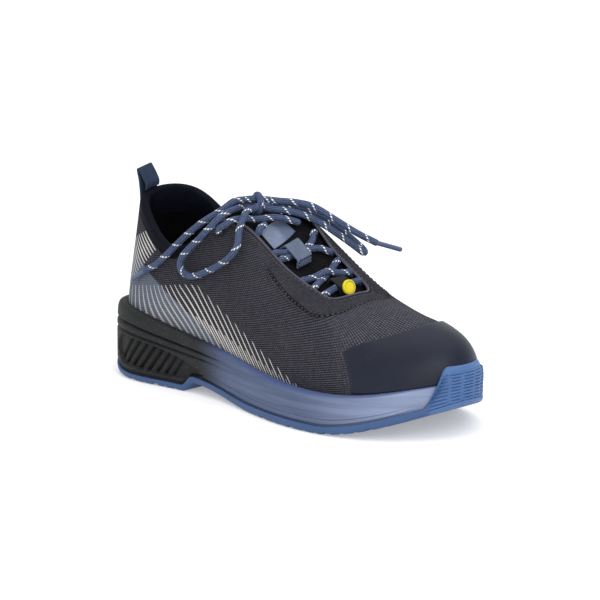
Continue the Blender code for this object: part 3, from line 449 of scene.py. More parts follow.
def round_foot(half, crowd=((0, 1.6), (0.15, 1), (0.85, 1), (1, 1.8))):
    """Places round the foot, half on each side. crowd says how close they stand, from the heel to the toe."""
    share = np.linspace(0, 1, 801)
    weight = np.interp(share, *zip(*crowd))
    run = np.concatenate([[0], np.cumsum((weight[1:] + weight[:-1]) / 2)])
    f = np.interp(np.linspace(0, 1, half + 1), run / run[-1], share)
    return np.concatenate([TOE * f[:-1], 1 - (1 - TOE) * f[:0:-1]])


def across_foot(ring, shares):
    """Rows from a ring inwards: share 1 is the line half way between the ring's two sides."""
    other = ring[-np.arange(len(ring)) % len(ring)]
    return blend(ring, (ring + other) / 2, np.asarray(shares)[:, None, None])


def to_side(u):
    """A place on the inner side as the matching place on the outer side."""
    return np.where(u <= TOE, u, TOE * (1 - u) / (1 - TOE))


# Meshes

SHARP_ANGLE = 50.0
MERGE_WITHIN, NO_LENGTH = 2e-6, 1e-7
END_RINGS, STITCH_RINGS = 5, 6


def patch(points, close=(False, False), finish=0, **marks):
    """One grid of points, or a stack of like grids, with marks: values that change over it.

    close says whether the last row joins the first, and the last column the first. Marks of a closed grid
    have one row or column more than the points, so that a pattern doesn't jump at the join.
    """
    return {"points": np.asarray(points, float), "close": close, "finish": finish, "marks": marks}


def grid_faces(rows, cols, close):
    """Row and column numbers of the four corners of each face of a grid."""
    r, c = np.meshgrid(np.arange(rows - (not close[0])), np.arange(cols - (not close[1])), indexing="ij")
    row = np.stack([r, r, r + 1, r + 1], -1).reshape(-1, 4)
    return row, np.stack([c, c + 1, c + 1, c], -1).reshape(-1, 4)


def linked(name, data):
    """A new object of the scene with this mesh, camera or light."""
    made = bpy.data.objects.new(name, data)
    bpy.context.scene.collection.objects.link(made)
    return made


def make_piece(name, patches, finishes, replaces=()):
    """A closed mesh of all the patches, doubles merged and faces turned outwards, riding on the frame."""
    names = sorted({mark for part in patches for mark in part["marks"]})
    vertices, corners, kinds = [], [], []
    marks = {mark: [] for mark in names}
    start = 0
    for part in patches:
        points, close = part["points"], part["close"]
        rows, cols = points.shape[-3:-1]
        stack = points.reshape(-1, rows * cols, 3)
        r, c = grid_faces(rows, cols, close)
        index = (r % rows) * cols + c % cols
        index = start + index[None] + (np.arange(len(stack)) * rows * cols)[:, None, None]
        vertices.append(stack.reshape(-1, 3))
        corners.append(index.reshape(-1, 4))
        start += len(stack) * rows * cols
        kinds.append(np.broadcast_to(part["finish"], (len(stack), len(r))).ravel())
        for mark in names:
            value = np.asarray(part["marks"].get(mark, 0.0), float)
            full = np.broadcast_to(value, (len(stack), rows + close[0], cols + close[1]))
            marks[mark].append(full[:, r, c].ravel())
    vertices = np.concatenate(vertices) + HEEL_END
    corners = np.concatenate(corners)
    mesh = bpy.data.meshes.new(name)
    mesh.vertices.add(len(vertices))
    mesh.vertices.foreach_set("co", vertices.ravel())
    mesh.loops.add(corners.size)
    mesh.loops.foreach_set("vertex_index", corners.ravel())
    mesh.polygons.add(len(corners))
    mesh.polygons.foreach_set("loop_start", np.arange(0, corners.size, 4))
    mesh.polygons.foreach_set("material_index", np.concatenate(kinds))
    for mark in names:
        layer = mesh.attributes.new(mark, "FLOAT", "CORNER")
        layer.data.foreach_set("value", np.concatenate(marks[mark]))
    mesh.update(calc_edges=True)
    work = bmesh.new()
    work.from_mesh(mesh)
    bmesh.ops.remove_doubles(work, verts=work.verts, dist=MERGE_WITHIN)
    bmesh.ops.dissolve_degenerate(work, edges=work.edges, dist=NO_LENGTH)
    bmesh.ops.recalc_face_normals(work, faces=work.faces)
    work.to_mesh(mesh)
    work.free()
    mesh.shade_smooth()
    mesh.set_sharp_from_angle(angle=math.radians(SHARP_ANGLE))
    thing = linked(name, mesh)
    for finish in finishes:
        mesh.materials.append(finish)
    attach(thing, "root")
    if replaces:
        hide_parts(*replaces)
    return thing


def side_run(grid, axis):
    """The distance in metres run along a grid's rows or columns, from 0."""
    step = np.linalg.norm(np.diff(grid, axis=axis), axis=-1)
    first = np.zeros_like(np.take(step, [0], axis=axis))
    return np.concatenate([first, np.cumsum(step, axis=axis)], axis=axis)


def grid_normal(grid):
    """The direction square to a grid: its run along the rows times its run along the columns, crosswise."""
    return unit(np.cross(np.gradient(grid, axis=0), np.gradient(grid, axis=1)))


def slab(middle, thick, rim):
    """Two faces, half of thick above and below a grid, drawn together at its edges in quarter rounds of
    radius rim: half thickness times sqrt(1 - (1 - d / rim)^2) for a distance d from each edge."""
    normal = grid_normal(middle)
    full = np.ones(middle.shape[:2])
    long, wide = side_run(middle, 0), side_run(middle, 1)
    for run, axis in ((long, 0), (wide, 1)):
        end = np.take(run, [-1], axis=axis)
        near = np.clip(np.minimum(run, end - run) / rim, 0, 1)
        full = full * np.sqrt(1 - (1 - near) ** 2)
    half = normal * (full * thick / 2)[..., None]
    marks = {"along": long / MM, "across": wide / MM}
    return [patch(middle + half, **marks), patch(middle - half, **marks)]


def tube(points, radius, sides=20, closed=False):
    """A round tube along a path, with half-round ends: rings square to the path, each turned from the
    direction in which the path spreads least. along is in millimetres, around from 0 to 1."""
    points = np.asarray(points, float)
    if closed:
        run = unit(np.roll(points, -1, axis=0) - np.roll(points, 1, axis=0))
    else:
        run = unit(np.gradient(points, axis=0))
    across = np.linalg.svd(points - points.mean(axis=0), full_matrices=False)[2][-1]
    side = unit(np.cross(run, across))
    lift = np.cross(side, run)
    reach = np.full(len(points), radius)
    if not closed:
        bend = np.linspace(0, np.pi / 2, END_RINGS + 1)[:-1]
        start = points[:1] - run[:1] * radius * np.cos(bend)[:, None]
        end = points[-1:] + run[-1:] * radius * np.cos(bend[::-1])[:, None]
        points = np.concatenate([start, points, end])
        reach = np.concatenate([radius * np.sin(bend), reach, radius * np.sin(bend[::-1])])
        side, lift = (np.concatenate([way[:1].repeat(END_RINGS, 0), way, way[-1:].repeat(END_RINGS, 0)])
                      for way in (side, lift))
    length = run_of(np.concatenate([points, points[:1]]) if closed else points)
    turn = np.linspace(0, 1, sides + 1)
    angle = turn[None, :-1, None] * 2 * np.pi
    spoke = np.cos(angle) * side[:, None] + np.sin(angle) * lift[:, None]
    rings = points[:, None] + reach[:, None, None] * spoke
    return patch(rings, (closed, True), along=length[:, None] / MM, around=turn[None, :])


def lathe(middle, axis, profile, sides):
    """A profile of radius and rise turned about an axis. Its ends are on the axis, so the poles close."""
    axis = unit(axis)
    side = unit(np.cross(axis, [0.0, 1.0, 0.0]))
    radius, rise = np.asarray(profile, float).T
    turn = np.linspace(0, 1, sides + 1)
    angle = turn[None, :-1, None] * 2 * np.pi
    spoke = np.cos(angle) * side + np.sin(angle) * np.cross(axis, side)
    points = middle + rise[:, None, None] * axis + radius[:, None, None] * spoke
    return patch(points, (False, True), radius=radius[:, None] / MM)


def stitches(path, normal, length, gap, thread):
    """A run of sewn stitches: long ellipsoids end to end along a path, half sunk in the cloth."""
    run = run_of(path)
    at = np.arange(length, run[-1], length + gap)
    spot, ahead, up = (read_along(at, run, rows) for rows in (path, np.gradient(path, axis=0), normal))
    ahead = unit(ahead)
    side = np.cross(up, ahead)
    a = np.linspace(0, np.pi, STITCH_RINGS)[None, :, None, None]
    b = np.linspace(0, 2 * np.pi, STITCH_RINGS, endpoint=False)[None, None, :, None]
    ahead, side, up = (part[:, None, None] for part in (ahead, side, up))
    points = spot[:, None, None] + ahead * (length / 2) * np.cos(a)
    points = points + (side * np.cos(b) + up * np.sin(b)) * (thread / 2) * np.sin(a)
    return patch(points, (False, True))


# Materials

# The knit: gaps between its stitches, the heel's soft line, the silver lines, the seam, the throat's edge
KNIT_GAP, VAMP_GAP, KNIT_CLOUD = 0.45, 0.55, 420.0
COUNTER_SOFT, HEEL_YARN = 0.5, 0.35
SHORT_WIDTH, SILVER_THREAD, SILVER_SHADE, SILVER_COVER = 0.6, 0.9, 0.25, (0.95, 0.65)
HATCH_SOFT, HATCH_START, HATCH_FILL, HATCH_HEIGHT = 0.06, 1.2, 0.7, 0.9
SEAM_LINE, SEAM_SHADE, SEAM_RISE, SEAM_DROP, SEAM_HEIGHT = (0.55, 1.25), 0.92, (0.6, 1.6), (3.6, 2.2), 2.5
EDGE_SHADE, EDGE_DARK = (1.4, 2.6), 0.8
# The foam: its crumbs, streaks and fine lines. The lace: its ribs and flecks
CRUMB_SCALE, CRUMB_EDGES, CRUMB_PALE = 1500.0, (0.68, 0.76), 0.30
STREAK_SCALE, STREAK_STRETCH = 60.0, (0.25, 0.25, 6.0)
FOAM_LINES, FOAM_LINE, FOAM_LOW, FOAM_EDGE = 11.0, (0.55, 1.0), (0.45, 0.25), (0.93, 0.97)
LACE_RIBS, LACE_LEAN, FLECK_LINE, FLECK_DOT = 9.0, 1.6, (0.88, 0.93), (0.35, 0.55)


def screen(code):
    """A colour as seen on a screen, in hexadecimal, as linear light."""
    parts = np.array([int(code[i:i + 2], 16) for i in (0, 2, 4)]) / 255
    return tuple(np.where(parts <= 0.04045, parts / 12.92, ((parts + 0.055) / 1.055) ** 2.4).tolist())


class Tree:
    """Adds nodes to a node tree. Each call gives back the socket that it makes."""

    def __init__(self, tree):
        self.tree = tree

    def put(self, slot, value):
        """Links a socket to a slot, or sets a constant on it."""
        if isinstance(value, bpy.types.NodeSocket):
            self.tree.links.new(value, slot)
        elif value is not None:
            colour = slot.type == "RGBA" and len(value) == 3
            slot.default_value = (*value, 1.0) if colour else value

    def node(self, kind, *inputs, out=0, named=None, **settings):
        """A node of this kind, its inputs in order or by name, and its settings."""
        made = self.tree.nodes.new("ShaderNode" + kind)
        for key, value in settings.items():
            setattr(made, key, value)
        for slot, value in zip(made.inputs, inputs):
            self.put(slot, value)
        for key, value in (named or {}).items():
            self.put(made.inputs[key], value)
        return made.outputs[out]

    def math(self, operation, *values):
        """One sum of two values, or a function of one."""
        return self.node("Math", *values, operation=operation)

    def add(self, *values):
        """The two values added."""
        return self.math("ADD", *values)

    def times(self, *values):
        """The two values multiplied."""
        return self.math("MULTIPLY", *values)

    def most(self, *values):
        """The larger of two values."""
        return self.math("MAXIMUM", *values)

    def rest(self, value):
        """What is left of 1."""
        return self.math("SUBTRACT", 1.0, value)

    def mark(self, name):
        """A value kept on the piece itself."""
        return self.node("Attribute", out=2, attribute_name=name)

    def step(self, value, low, high, first=0.0, last=1.0):
        """first below low, last above high, an even S between them."""
        return self.node("MapRange", value, low, high, first, last, interpolation_type="SMOOTHSTEP")

    def ridge(self, value):
        """0 at whole numbers, 1 half way between them, straight in between."""
        return self.times(self.math("PINGPONG", value, 0.5), 2.0)

    def mix(self, share, first, second):
        """The first colour at share 0, the second at share 1."""
        return self.node("Mix", out=2, data_type="RGBA", named={0: share, 6: first, 7: second})

    def place(self):
        """The place on the object, in metres."""
        return self.node("TexCoord", out=3)

    def noise(self, scale, detail, stretch=None):
        """Noise from 0 to 1 over the object, drawn out along its axes where stretch is given."""
        vector = self.place()
        if stretch:
            vector = self.node("Mapping", vector, None, None, stretch)
        return self.node("TexNoise", named={"Vector": vector, "Scale": scale, "Detail": detail})

    def cloud(self, scale, first, last):
        """Noise of this scale, spread from first to last."""
        return self.step(self.noise(scale, 3.0), 0.25, 0.75, first, last)

    def group(self, name, **inputs):
        """Places a shared group and gives back its outputs by name."""
        made = self.tree.nodes.new("ShaderNodeGroup")
        made.node_tree = bpy.data.node_groups.get(name) or GROUPS[name](name)
        for key, value in inputs.items():
            self.put(made.inputs[key.replace("_", " ")], value)
        return made.outputs


def knit_on(n, row, row_size, stitch, stitch_size, gap):
    """The knit on two of a piece's marks, with the sizes of a row and a stitch in millimetres."""
    return n.group("Knit", Row=n.times(n.mark(row), 1 / row_size),
                   Stitch=n.times(n.mark(stitch), 1 / stitch_size), Gap=gap)


def new_group(name, inputs, outputs):
    """An empty group with its sockets: its tree, its inputs by name, and its outputs' node."""
    tree = bpy.data.node_groups.new(name, "ShaderNodeTree")
    for label, kind, default in inputs:
        slot = tree.interface.new_socket(label, in_out="INPUT", socket_type="NodeSocket" + kind)
        slot.default_value = default
    for label, kind in outputs:
        tree.interface.new_socket(label, in_out="OUTPUT", socket_type="NodeSocket" + kind)
    return Tree(tree), tree.nodes.new("NodeGroupInput").outputs, tree.nodes.new("NodeGroupOutput").inputs


def knit_group(name):
    """Knitting: rows of short stitches, every other row moved on by half a stitch. Row and Stitch
    count them."""
    n, given, out = new_group(name, [("Row", "Float", 0.0), ("Stitch", "Float", 0.0), ("Gap", "Float", 0.3)],
                              [("Yarn", "Float"), ("Height", "Float")])
    row = n.ridge(given["Row"])
    shift = n.times(n.math("FLOOR", given["Row"]), 0.5)
    stitch = n.ridge(n.add(given["Stitch"], shift))
    body = n.times(n.step(row, 0.05, 0.75), n.step(stitch, 0.0, given["Gap"], 0.25, 1.0))
    n.put(out["Yarn"], body)
    n.put(out["Height"], n.times(body, n.add(n.times(row, 0.5), 0.5)))
    return n.tree


def weave_group(name):
    """A plain weave: warp and weft threads that pass over each other by turns. Along and Across
    count them."""
    n, given, out = new_group(name, [("Along", "Float", 0.0), ("Across", "Float", 0.0)],
                              [("Warp", "Float"), ("Height", "Float")])
    along, across = n.ridge(given["Along"]), n.ridge(given["Across"])
    turn = n.add(n.math("FLOOR", given["Along"]), n.math("FLOOR", given["Across"]))
    over = n.step(n.math("PINGPONG", turn, 1.0), 0.4, 0.6)
    warp, weft = n.math("POWER", across, 0.6), n.math("POWER", along, 0.6)
    n.put(out["Warp"], over)
    n.put(out["Height"], n.add(n.times(over, warp), n.times(n.rest(over), weft)))
    return n.tree


def grain_group(name):
    """A moulded grain: two noises of one size and a third of it, a colour share and a height from them."""
    n, given, out = new_group(name, [("Size", "Float", 800.0), ("Amount", "Float", 0.5)],
                              [("Tone", "Float"), ("Height", "Float")])
    coarse = n.noise(given["Size"], 3.0)
    fine = n.noise(n.times(given["Size"], 3.0), 2.0)
    cloud = n.noise(28.0, 3.0)
    both = n.add(n.times(coarse, 0.6), n.times(fine, 0.4))
    tone = n.add(n.times(both, 0.5), n.times(cloud, 0.5))
    n.put(out["Tone"], n.times(n.step(tone, 0.3, 0.7), given["Amount"]))
    n.put(out["Height"], both)
    return n.tree


def dust_group(name):
    """Pale dust and rubbing: a soft cloud cut by a finer one, put over a colour."""
    n, given, out = new_group(name, [("Colour", "Color", (0.5, 0.5, 0.5, 1.0)),
                                     ("Dust", "Color", (0.5, 0.5, 0.5, 1.0)), ("Amount", "Float", 0.2)],
                              [("Colour", "Color"), ("Mask", "Float")])
    cloud = n.step(n.noise(45.0, 4.0), 0.48, 0.78)
    speck = n.step(n.noise(900.0, 2.0), 0.45, 0.75)
    mask = n.times(n.times(cloud, speck), given["Amount"])
    n.put(out["Colour"], n.mix(mask, given["Colour"], given["Dust"]))
    n.put(out["Mask"], mask)
    return n.tree


GROUPS = {"Knit": knit_group, "Weave": weave_group, "Grain": grain_group, "Dust": dust_group}


def finish(name, fill, **constants):
    """A material: fill(tree) gives what feeds the surface's sockets, and constants are set on them directly.
    Height and Depth, where given, feed Normal through a Bump node."""
    if name in bpy.data.materials:
        return bpy.data.materials[name]
    made = bpy.data.materials.new(name)
    made.use_nodes = True
    n = Tree(made.node_tree)
    surface = made.node_tree.nodes["Principled BSDF"]
    for key, value in constants.items():
        n.put(surface.inputs[key.replace("_", " ")], value)
    found = fill(n)
    height, depth = found.pop("Height", None), found.pop("Depth", None)
    if height is not None:
        bump = n.node("Bump", named={"Strength": 1.0, "Distance": depth, "Height": height})
        n.put(surface.inputs["Normal"], bump)
    for key, value in found.items():
        n.put(surface.inputs[key], value)
    return made


def colours():
    """The panel's colours."""
    return bpy.context.scene.shoe_colours


def sizes():
    """The panel's sizes."""
    return bpy.context.scene.shoe_sizes


def in_mm(name):
    """A size of the panel in millimetres."""
    return getattr(sizes(), name) / MM


def knit_finish():
    """The upper's knit with its silver lines, the blue-grey heel, painted light that makes the vamp's yarn
    lighter, and the shade of the seam on each side.
    """
    c = colours()

    def fill(n):
        stitch = in_mm("knit_stitch")
        side = knit_on(n, "row", in_mm("knit_row"), "stitch", stitch, KNIT_GAP)
        vamp = knit_on(n, "wale", in_mm("knit_wale"), "down", stitch, VAMP_GAP)
        band = knit_on(n, "down", in_mm("knit_row"), "wale", stitch, KNIT_GAP)
        share, inside = n.mark("vamp"), n.mark("eyestay")
        plain = n.rest(n.add(share, inside))
        yarn = n.add(n.times(vamp["Yarn"], share), n.times(band["Yarn"], inside))
        yarn = n.add(yarn, n.times(side["Yarn"], plain))
        uneven = n.cloud(KNIT_CLOUD, 0.55, 1.0)
        # Painted light: the vamp's yarn is drawn lighter where light falls on the front of the foot
        light = n.mix(share, c.knit_light, c.knit_vamp_painted_light)
        colour = n.mix(n.times(yarn, uneven), c.knit_dark, light)
        heel = n.step(n.mark("counter"), -COUNTER_SOFT, COUNTER_SOFT)
        heel_yarn = n.times(n.times(yarn, uneven), HEEL_YARN)
        colour = n.mix(heel, colour, n.mix(heel_yarn, c.counter, c.counter_light))
        long = hatch(n, n.mark("turn"), n.mark("depth"), n.mark("width"))
        short = hatch(n, n.add(n.mark("turn"), 0.5), n.mark("short_depth"),
                      n.times(n.mark("width"), SHORT_WIDTH))
        short = n.times(short, n.rest(heel))
        heel_lines = hatch(n, n.mark("heel_turn"), n.mark("heel_depth"), n.mark("heel_width"))
        lines = n.most(n.most(long, short), heel_lines)
        threads = n.ridge(n.times(n.mark("row"), 1 / SILVER_THREAD))
        silver = n.mix(n.times(threads, SILVER_SHADE), c.hatch, c.hatch_shade)
        colour = n.mix(n.times(lines, n.step(heel, 0.0, 1.0, *SILVER_COVER)), colour, silver)
        seam = n.math("ABSOLUTE", n.mark("seam"))
        sewn = n.mark("sewn")
        colour = n.mix(n.times(sewn, n.step(seam, *SEAM_LINE, SEAM_SHADE, 0.0)), colour, c.lining)
        colour = n.mix(n.step(n.mark("across"), *EDGE_SHADE, EDGE_DARK, 0.0), colour, c.lining)
        dusty = n.group("Dust", Colour=colour, Dust=c.dust, Amount=0.10)
        ridge = n.times(sewn, n.times(n.step(seam, *SEAM_RISE), n.step(seam, *SEAM_DROP)))
        height = n.times(yarn, n.rest(n.times(lines, HATCH_FILL)))
        height = n.add(n.add(height, n.times(lines, HATCH_HEIGHT)), n.times(ridge, SEAM_HEIGHT))
        return {"Base Color": dusty["Colour"], "Roughness": n.step(lines, 0.0, 1.0, 0.88, 0.55),
                "Height": height, "Depth": 0.00035}

    return finish("knit", fill, Specular_IOR_Level=0.10)


def hatch(n, turn, depth, width):
    """Slanting lines: each a ridge of the turn that is broad enough at this depth, pointed at its start."""
    body = n.step(n.math("SUBTRACT", n.ridge(turn), n.rest(width)), -HATCH_SOFT, HATCH_SOFT)
    return n.times(body, n.step(depth, 0.0, HATCH_START))


def cloth_finish(name, dark, light, row, stitch, depth=0.0003, gap=0.5):
    """A knitted or meshed cloth of one colour, on a piece's own along and across in millimetres."""

    def fill(n):
        knit = knit_on(n, "along", row, "across", stitch, gap)
        colour = n.mix(n.times(knit["Yarn"], n.cloud(300.0, 0.5, 1.0)), dark, light)
        dusty = n.group("Dust", Colour=colour, Dust=colours().dust, Amount=0.08)
        return {"Base Color": dusty["Colour"], "Roughness": n.step(knit["Yarn"], 0.0, 1.0, 0.95, 0.78),
                "Height": knit["Height"], "Depth": depth}

    return finish(name, fill, Specular_IOR_Level=0.06)


def woven_finish(name, dark, light, thread, rough=(0.75, 0.6), depth=0.00015, shine=0.2, fade=None):
    """Webbing or satin ribbon: a plain weave on the piece's own along and across in millimetres. Where fade
    gives two places across, painted shade darkens it from the first to the second and beyond."""

    def fill(n):
        weave = n.group("Weave", Along=n.times(n.mark("along"), 1 / thread),
                        Across=n.times(n.mark("across"), 1 / thread))
        share = n.add(n.times(weave["Height"], 0.65), n.cloud(160.0, 0.0, 0.35))
        # Painted shade: across the ribbon its weave's lighter tones give way to the dark colour
        if fade:
            share = n.times(share, n.step(n.mark("across"), *fade, 1.0, -0.9))
        return {"Base Color": n.mix(share, dark, light), "Roughness": n.step(weave["Warp"], 0.0, 1.0, *rough),
                "Height": weave["Height"], "Depth": depth}

    return finish(name, fill, Specular_IOR_Level=shine)


def moulded_finish(name, dark, light, size, amount=0.6, rough=(0.5, 0.65), depth=0.00006, shine=0.3,
                   ring=None):
    """A moulded film, rubber or enamel: a fine grain over one colour, and a ring of painted shade where ring
    gives its radius and half its width in millimetres."""

    def fill(n):
        grain = n.group("Grain", Size=size, Amount=amount)
        colour = n.mix(grain["Tone"], dark, light)
        if ring:
            # Painted shade in the groove at the foot of the badge's rim
            off = n.math("ABSOLUTE", n.add(n.mark("radius"), -ring[0]))
            colour = n.mix(n.step(off, 0.0, ring[1], 0.75, 0.0), colour, colours().badge_ring_painted_shade)
        dusty = n.group("Dust", Colour=colour, Dust=colours().dust, Amount=0.05)
        return {"Base Color": dusty["Colour"], "Roughness": n.step(grain["Height"], 0.3, 0.7, *rough),
                "Height": grain["Height"], "Depth": depth}

    return finish(name, fill, Specular_IOR_Level=shine)


def rubber_finish():
    """The tread's rubber with a fine grain: painted shade darkens its low edge and painted light lightens the
    bumper.
    """
    c = colours()

    def fill(n):
        grain = n.group("Grain", Size=700.0, Amount=0.5)
        # Painted shade on the low edge and painted light on the bumper: one rubber, darker low and lighter on
        # the bumper
        low = n.mix(grain["Tone"], c.rubber_edge_painted_shade, c.rubber)
        high = n.mix(grain["Tone"], c.rubber, c.rubber_bumper_painted_light)
        colour = n.mix(n.step(n.mark("bumper"), 0.0, 0.3), low, high)
        dusty = n.group("Dust", Colour=colour, Dust=c.dust, Amount=0.05)
        return {"Base Color": dusty["Colour"], "Roughness": n.step(grain["Height"], 0.3, 0.7, 0.45, 0.6),
                "Height": grain["Height"], "Depth": 0.00006}

    return finish("rubber", fill, Specular_IOR_Level=0.3)


def foam_finish():
    """The midsole's foam: charcoal with pale crumbs at the heel, blue with fine lines towards the toe, with
    painted light that makes it pale beside the toe and painted shade in the heel panel's recess and slots.
    """
    c = colours()

    def fill(n):
        grain = n.group("Grain", Size=520.0, Amount=0.7)
        crumbs = n.step(n.noise(CRUMB_SCALE, 1.0), *CRUMB_EDGES)
        heel = n.mix(grain["Tone"], c.foam_heel, c.foam_heel_light)
        heel = n.mix(n.times(crumbs, CRUMB_PALE), heel, c.dust)
        lines = n.step(n.ridge(n.times(n.mark("level"), FOAM_LINES)), *FOAM_LINE, 0.0, 0.35)
        streak = n.noise(STREAK_SCALE, 3.0, stretch=STREAK_STRETCH)
        tone = n.add(n.times(grain["Tone"], 0.3), n.times(n.step(streak, 0.3, 0.7), 0.5))
        fore = n.mix(tone, c.foam, c.foam_light)
        # Painted light: the foam grows pale beside the toe, where light falls on the forefoot's side
        fore = n.mix(n.times(n.mark("front"), n.add(n.times(tone, 0.4), 0.6)), fore, c.foam_toe_painted_light)
        low = n.step(n.mark("level"), *FOAM_LOW)
        fore = n.mix(n.times(lines, low), fore, c.foam_shade)
        fore = n.mix(n.step(n.mark("level"), *FOAM_EDGE, 0.0, 0.7), fore, c.foam_rim)
        colour = n.mix(n.mark("fore"), heel, fore)
        # Painted shade: the heel panel's recess and slots darken towards the lining's near-black, as deep as
        # they are sunk
        colour = n.mix(n.times(n.mark("hollow"), 0.8), colour, c.lining)
        return {"Base Color": colour, "Roughness": n.step(grain["Height"], 0.3, 0.7, 0.55, 0.75),
                "Height": n.add(grain["Height"], n.times(crumbs, 0.4)), "Depth": 0.00012}

    return finish("foam", fill, Specular_IOR_Level=0.25)


def lace_finish():
    """The braided lace: ribs along it that lean by turns, and pale flecks in a line that winds round it."""
    c = colours()

    def fill(n):
        along, around = n.mark("along"), n.mark("around")
        lean = n.times(n.ridge(n.times(along, 1 / LACE_LEAN)), 0.5)
        rib = n.ridge(n.add(n.times(around, LACE_RIBS), lean))
        uneven = n.step(n.noise(700.0, 2.0), 0.3, 0.7, 0.0, 0.3)
        colour = n.mix(n.add(n.times(rib, 0.95), uneven), c.lace_dark, c.lace_light)
        winding = n.ridge(n.add(n.add(n.times(along, 1 / in_mm("fleck_turn")), around), 0.5))
        dot = n.ridge(n.times(around, LACE_RIBS))
        fleck = n.times(n.step(winding, *FLECK_LINE), n.step(dot, *FLECK_DOT))
        colour = n.mix(fleck, colour, c.fleck)
        return {"Base Color": colour, "Roughness": n.step(rib, 0.0, 1.0, 0.85, 0.6),
                "Height": n.add(rib, n.times(fleck, 0.4)), "Depth": 0.00022}

    return finish("braided lace", fill, Specular_IOR_Level=0.12)


# The upper

UPPER_HALF = 236
SIDE_ROW_COUNT, EDGE_BAND, EDGE_ROW_COUNT, ROLL_ROWS, LINING_ROW_COUNT = 84, 0.010, 12, 9, 34
GIRTH_LEVEL, VAMP_LEVEL = 0.30, 0.65
ROW_SLOPE = 0.19
ROLL_HEIGHT, ROLL_LOOK, COLLAR_FROM, COLLAR_LINING_ROWS, LINING_LEVEL = 0.34, 0.02, 0.45, 7, 0.9
COLLAR_ENDS, PIPING_ENDS = (0.190, 0.800), (0.199, 0.788)
CREASE_START, CREASE_END = (0.05, 0.2), (0.93, 1.0)
PIPING_STEPS, PIPING_SINK, STITCH_LIFT, EDGE_SEAM = 260, 0.0003, 0.0001, 0.0034
EYELET_PROFILE = ((0, -0.5), (1.4, -0.5), (2.0, -0.3), (2.2, 0.2), (2.6, 0.55), (3.0, 0.45), (3.3, 0.0),
                  (3.2, -0.9), (0, -1.0))
CAP_ROWS, CAP_COLUMNS, CAP_CROWD, CAP_RIM = 76, 190, 0.8, 0.0012
VAMP_START, VAMP_END = 0.37, 0.43
EYESTAY_FADE, SEAM_FADE = (0.27, 0.31), (0.2890, 0.3050)
HATCH_TOP = {"heel": 52.3, "climb": 0.148, "turn_at": 113.7, "turn": 65.0, "fall": 0.461}
HATCH_LEAN_AT = (0, 46, 75, 90, 105, 124, 165, 214)
HATCH_LEAN = (0.05, 0.22, 0.95, 1.0, 0.82, 0.77, 0.67, 0.60)
HATCH_LEVEL = 45.0
SHORT_SHARE = 0.60
COUNTER_LINE = {"at": 48.1, "height": 73.2, "fall": 0.50}
COUNTER_TOP = {"at": 30.0, "height": 88.0, "climb": 0.2, "past": 2.0}
HATCH_WIDTHS, HATCH_WIDENING = (0.15, 0.34), 100.0
HEEL_HATCH = {"slope": 0.60, "pitch": 3.1, "margin": 0.5}
HEEL_HATCH_TOP = {"at": 51.0, "height": 95.0, "climb": 0.4}
HEEL_HATCH_FOOT = {"at": 48.1, "height": 69.5, "climb": 0.95}
HEEL_WIDTHS, HEEL_WIDTH, HEEL_WIDENING = (0.2, 0.6), 0.28, 60.0
SEAM_SOFT = 0.006
SEAM = ((0.2875, 0.818), (0.3115, 0.758), (0.3375, 0.695), (0.3535, 0.672), (0.3715, 0.638),
        (0.3935, 0.672), (0.4255, 0.770), (0.4750, 0.902))
# Soft troughs where the upper bends: their ends and middle round the foot and up the wall, depth and width
CREASES = (
    (((0.196, 0.74), (0.215, 0.66), (0.222, 0.55)), 0.0009, 0.0042),
    (((0.222, 0.80), (0.240, 0.70), (0.262, 0.62)), 0.0006, 0.0040),
    (((0.330, 0.56), (0.352, 0.52), (0.372, 0.42)), 0.0005, 0.0050),
    (((0.400, 0.62), (0.440, 0.64), (0.480, 0.66)), 0.0005, 0.0050),
)


def mirrored(line):
    """A line on the outer side as the matching line on the inner side."""
    line = np.array(line, float)
    line[:, 0] = TOE + (TOE - line[:, 0]) / TOE * (1 - TOE)
    return line[::-1]


def seam_line(count=10):
    """The seam round the eyestay, from the outer side to the inner side, as places (u, v)."""
    outer = np.array(SEAM)
    return curve_through(np.concatenate([outer, mirrored(outer)]), count)


def distance_to(points, line):
    """How far each point is from the nearest place of a line, in metres."""
    flat = points.reshape(-1, 3)
    best = np.full(len(flat), np.inf)
    for spot in line:
        best = np.minimum(best, ((flat - spot) ** 2).sum(axis=1))
    return np.sqrt(best).reshape(points.shape[:-1])


def relief(points):
    """The upper's own hollows: a trough of depth e^-(d/width)^2 along each crease, on both sides."""
    lift = np.zeros(points.shape[:-1])
    for line, depth, width in CREASES:
        for run in (line, mirrored(line)):
            fine = curve_through(run, 10)
            away = distance_to(points, wall(fine[:, 0], fine[:, 1]))
            lift -= depth * np.exp(-((away / width) ** 2))
    return lift


def girth_run(u, level):
    """Millimetres round the wall at one level, from the heel to each place u."""
    fine = np.linspace(0, 1, 2001)
    return np.interp(u, fine, run_of(wall(fine, np.full_like(fine, level)))) / MM


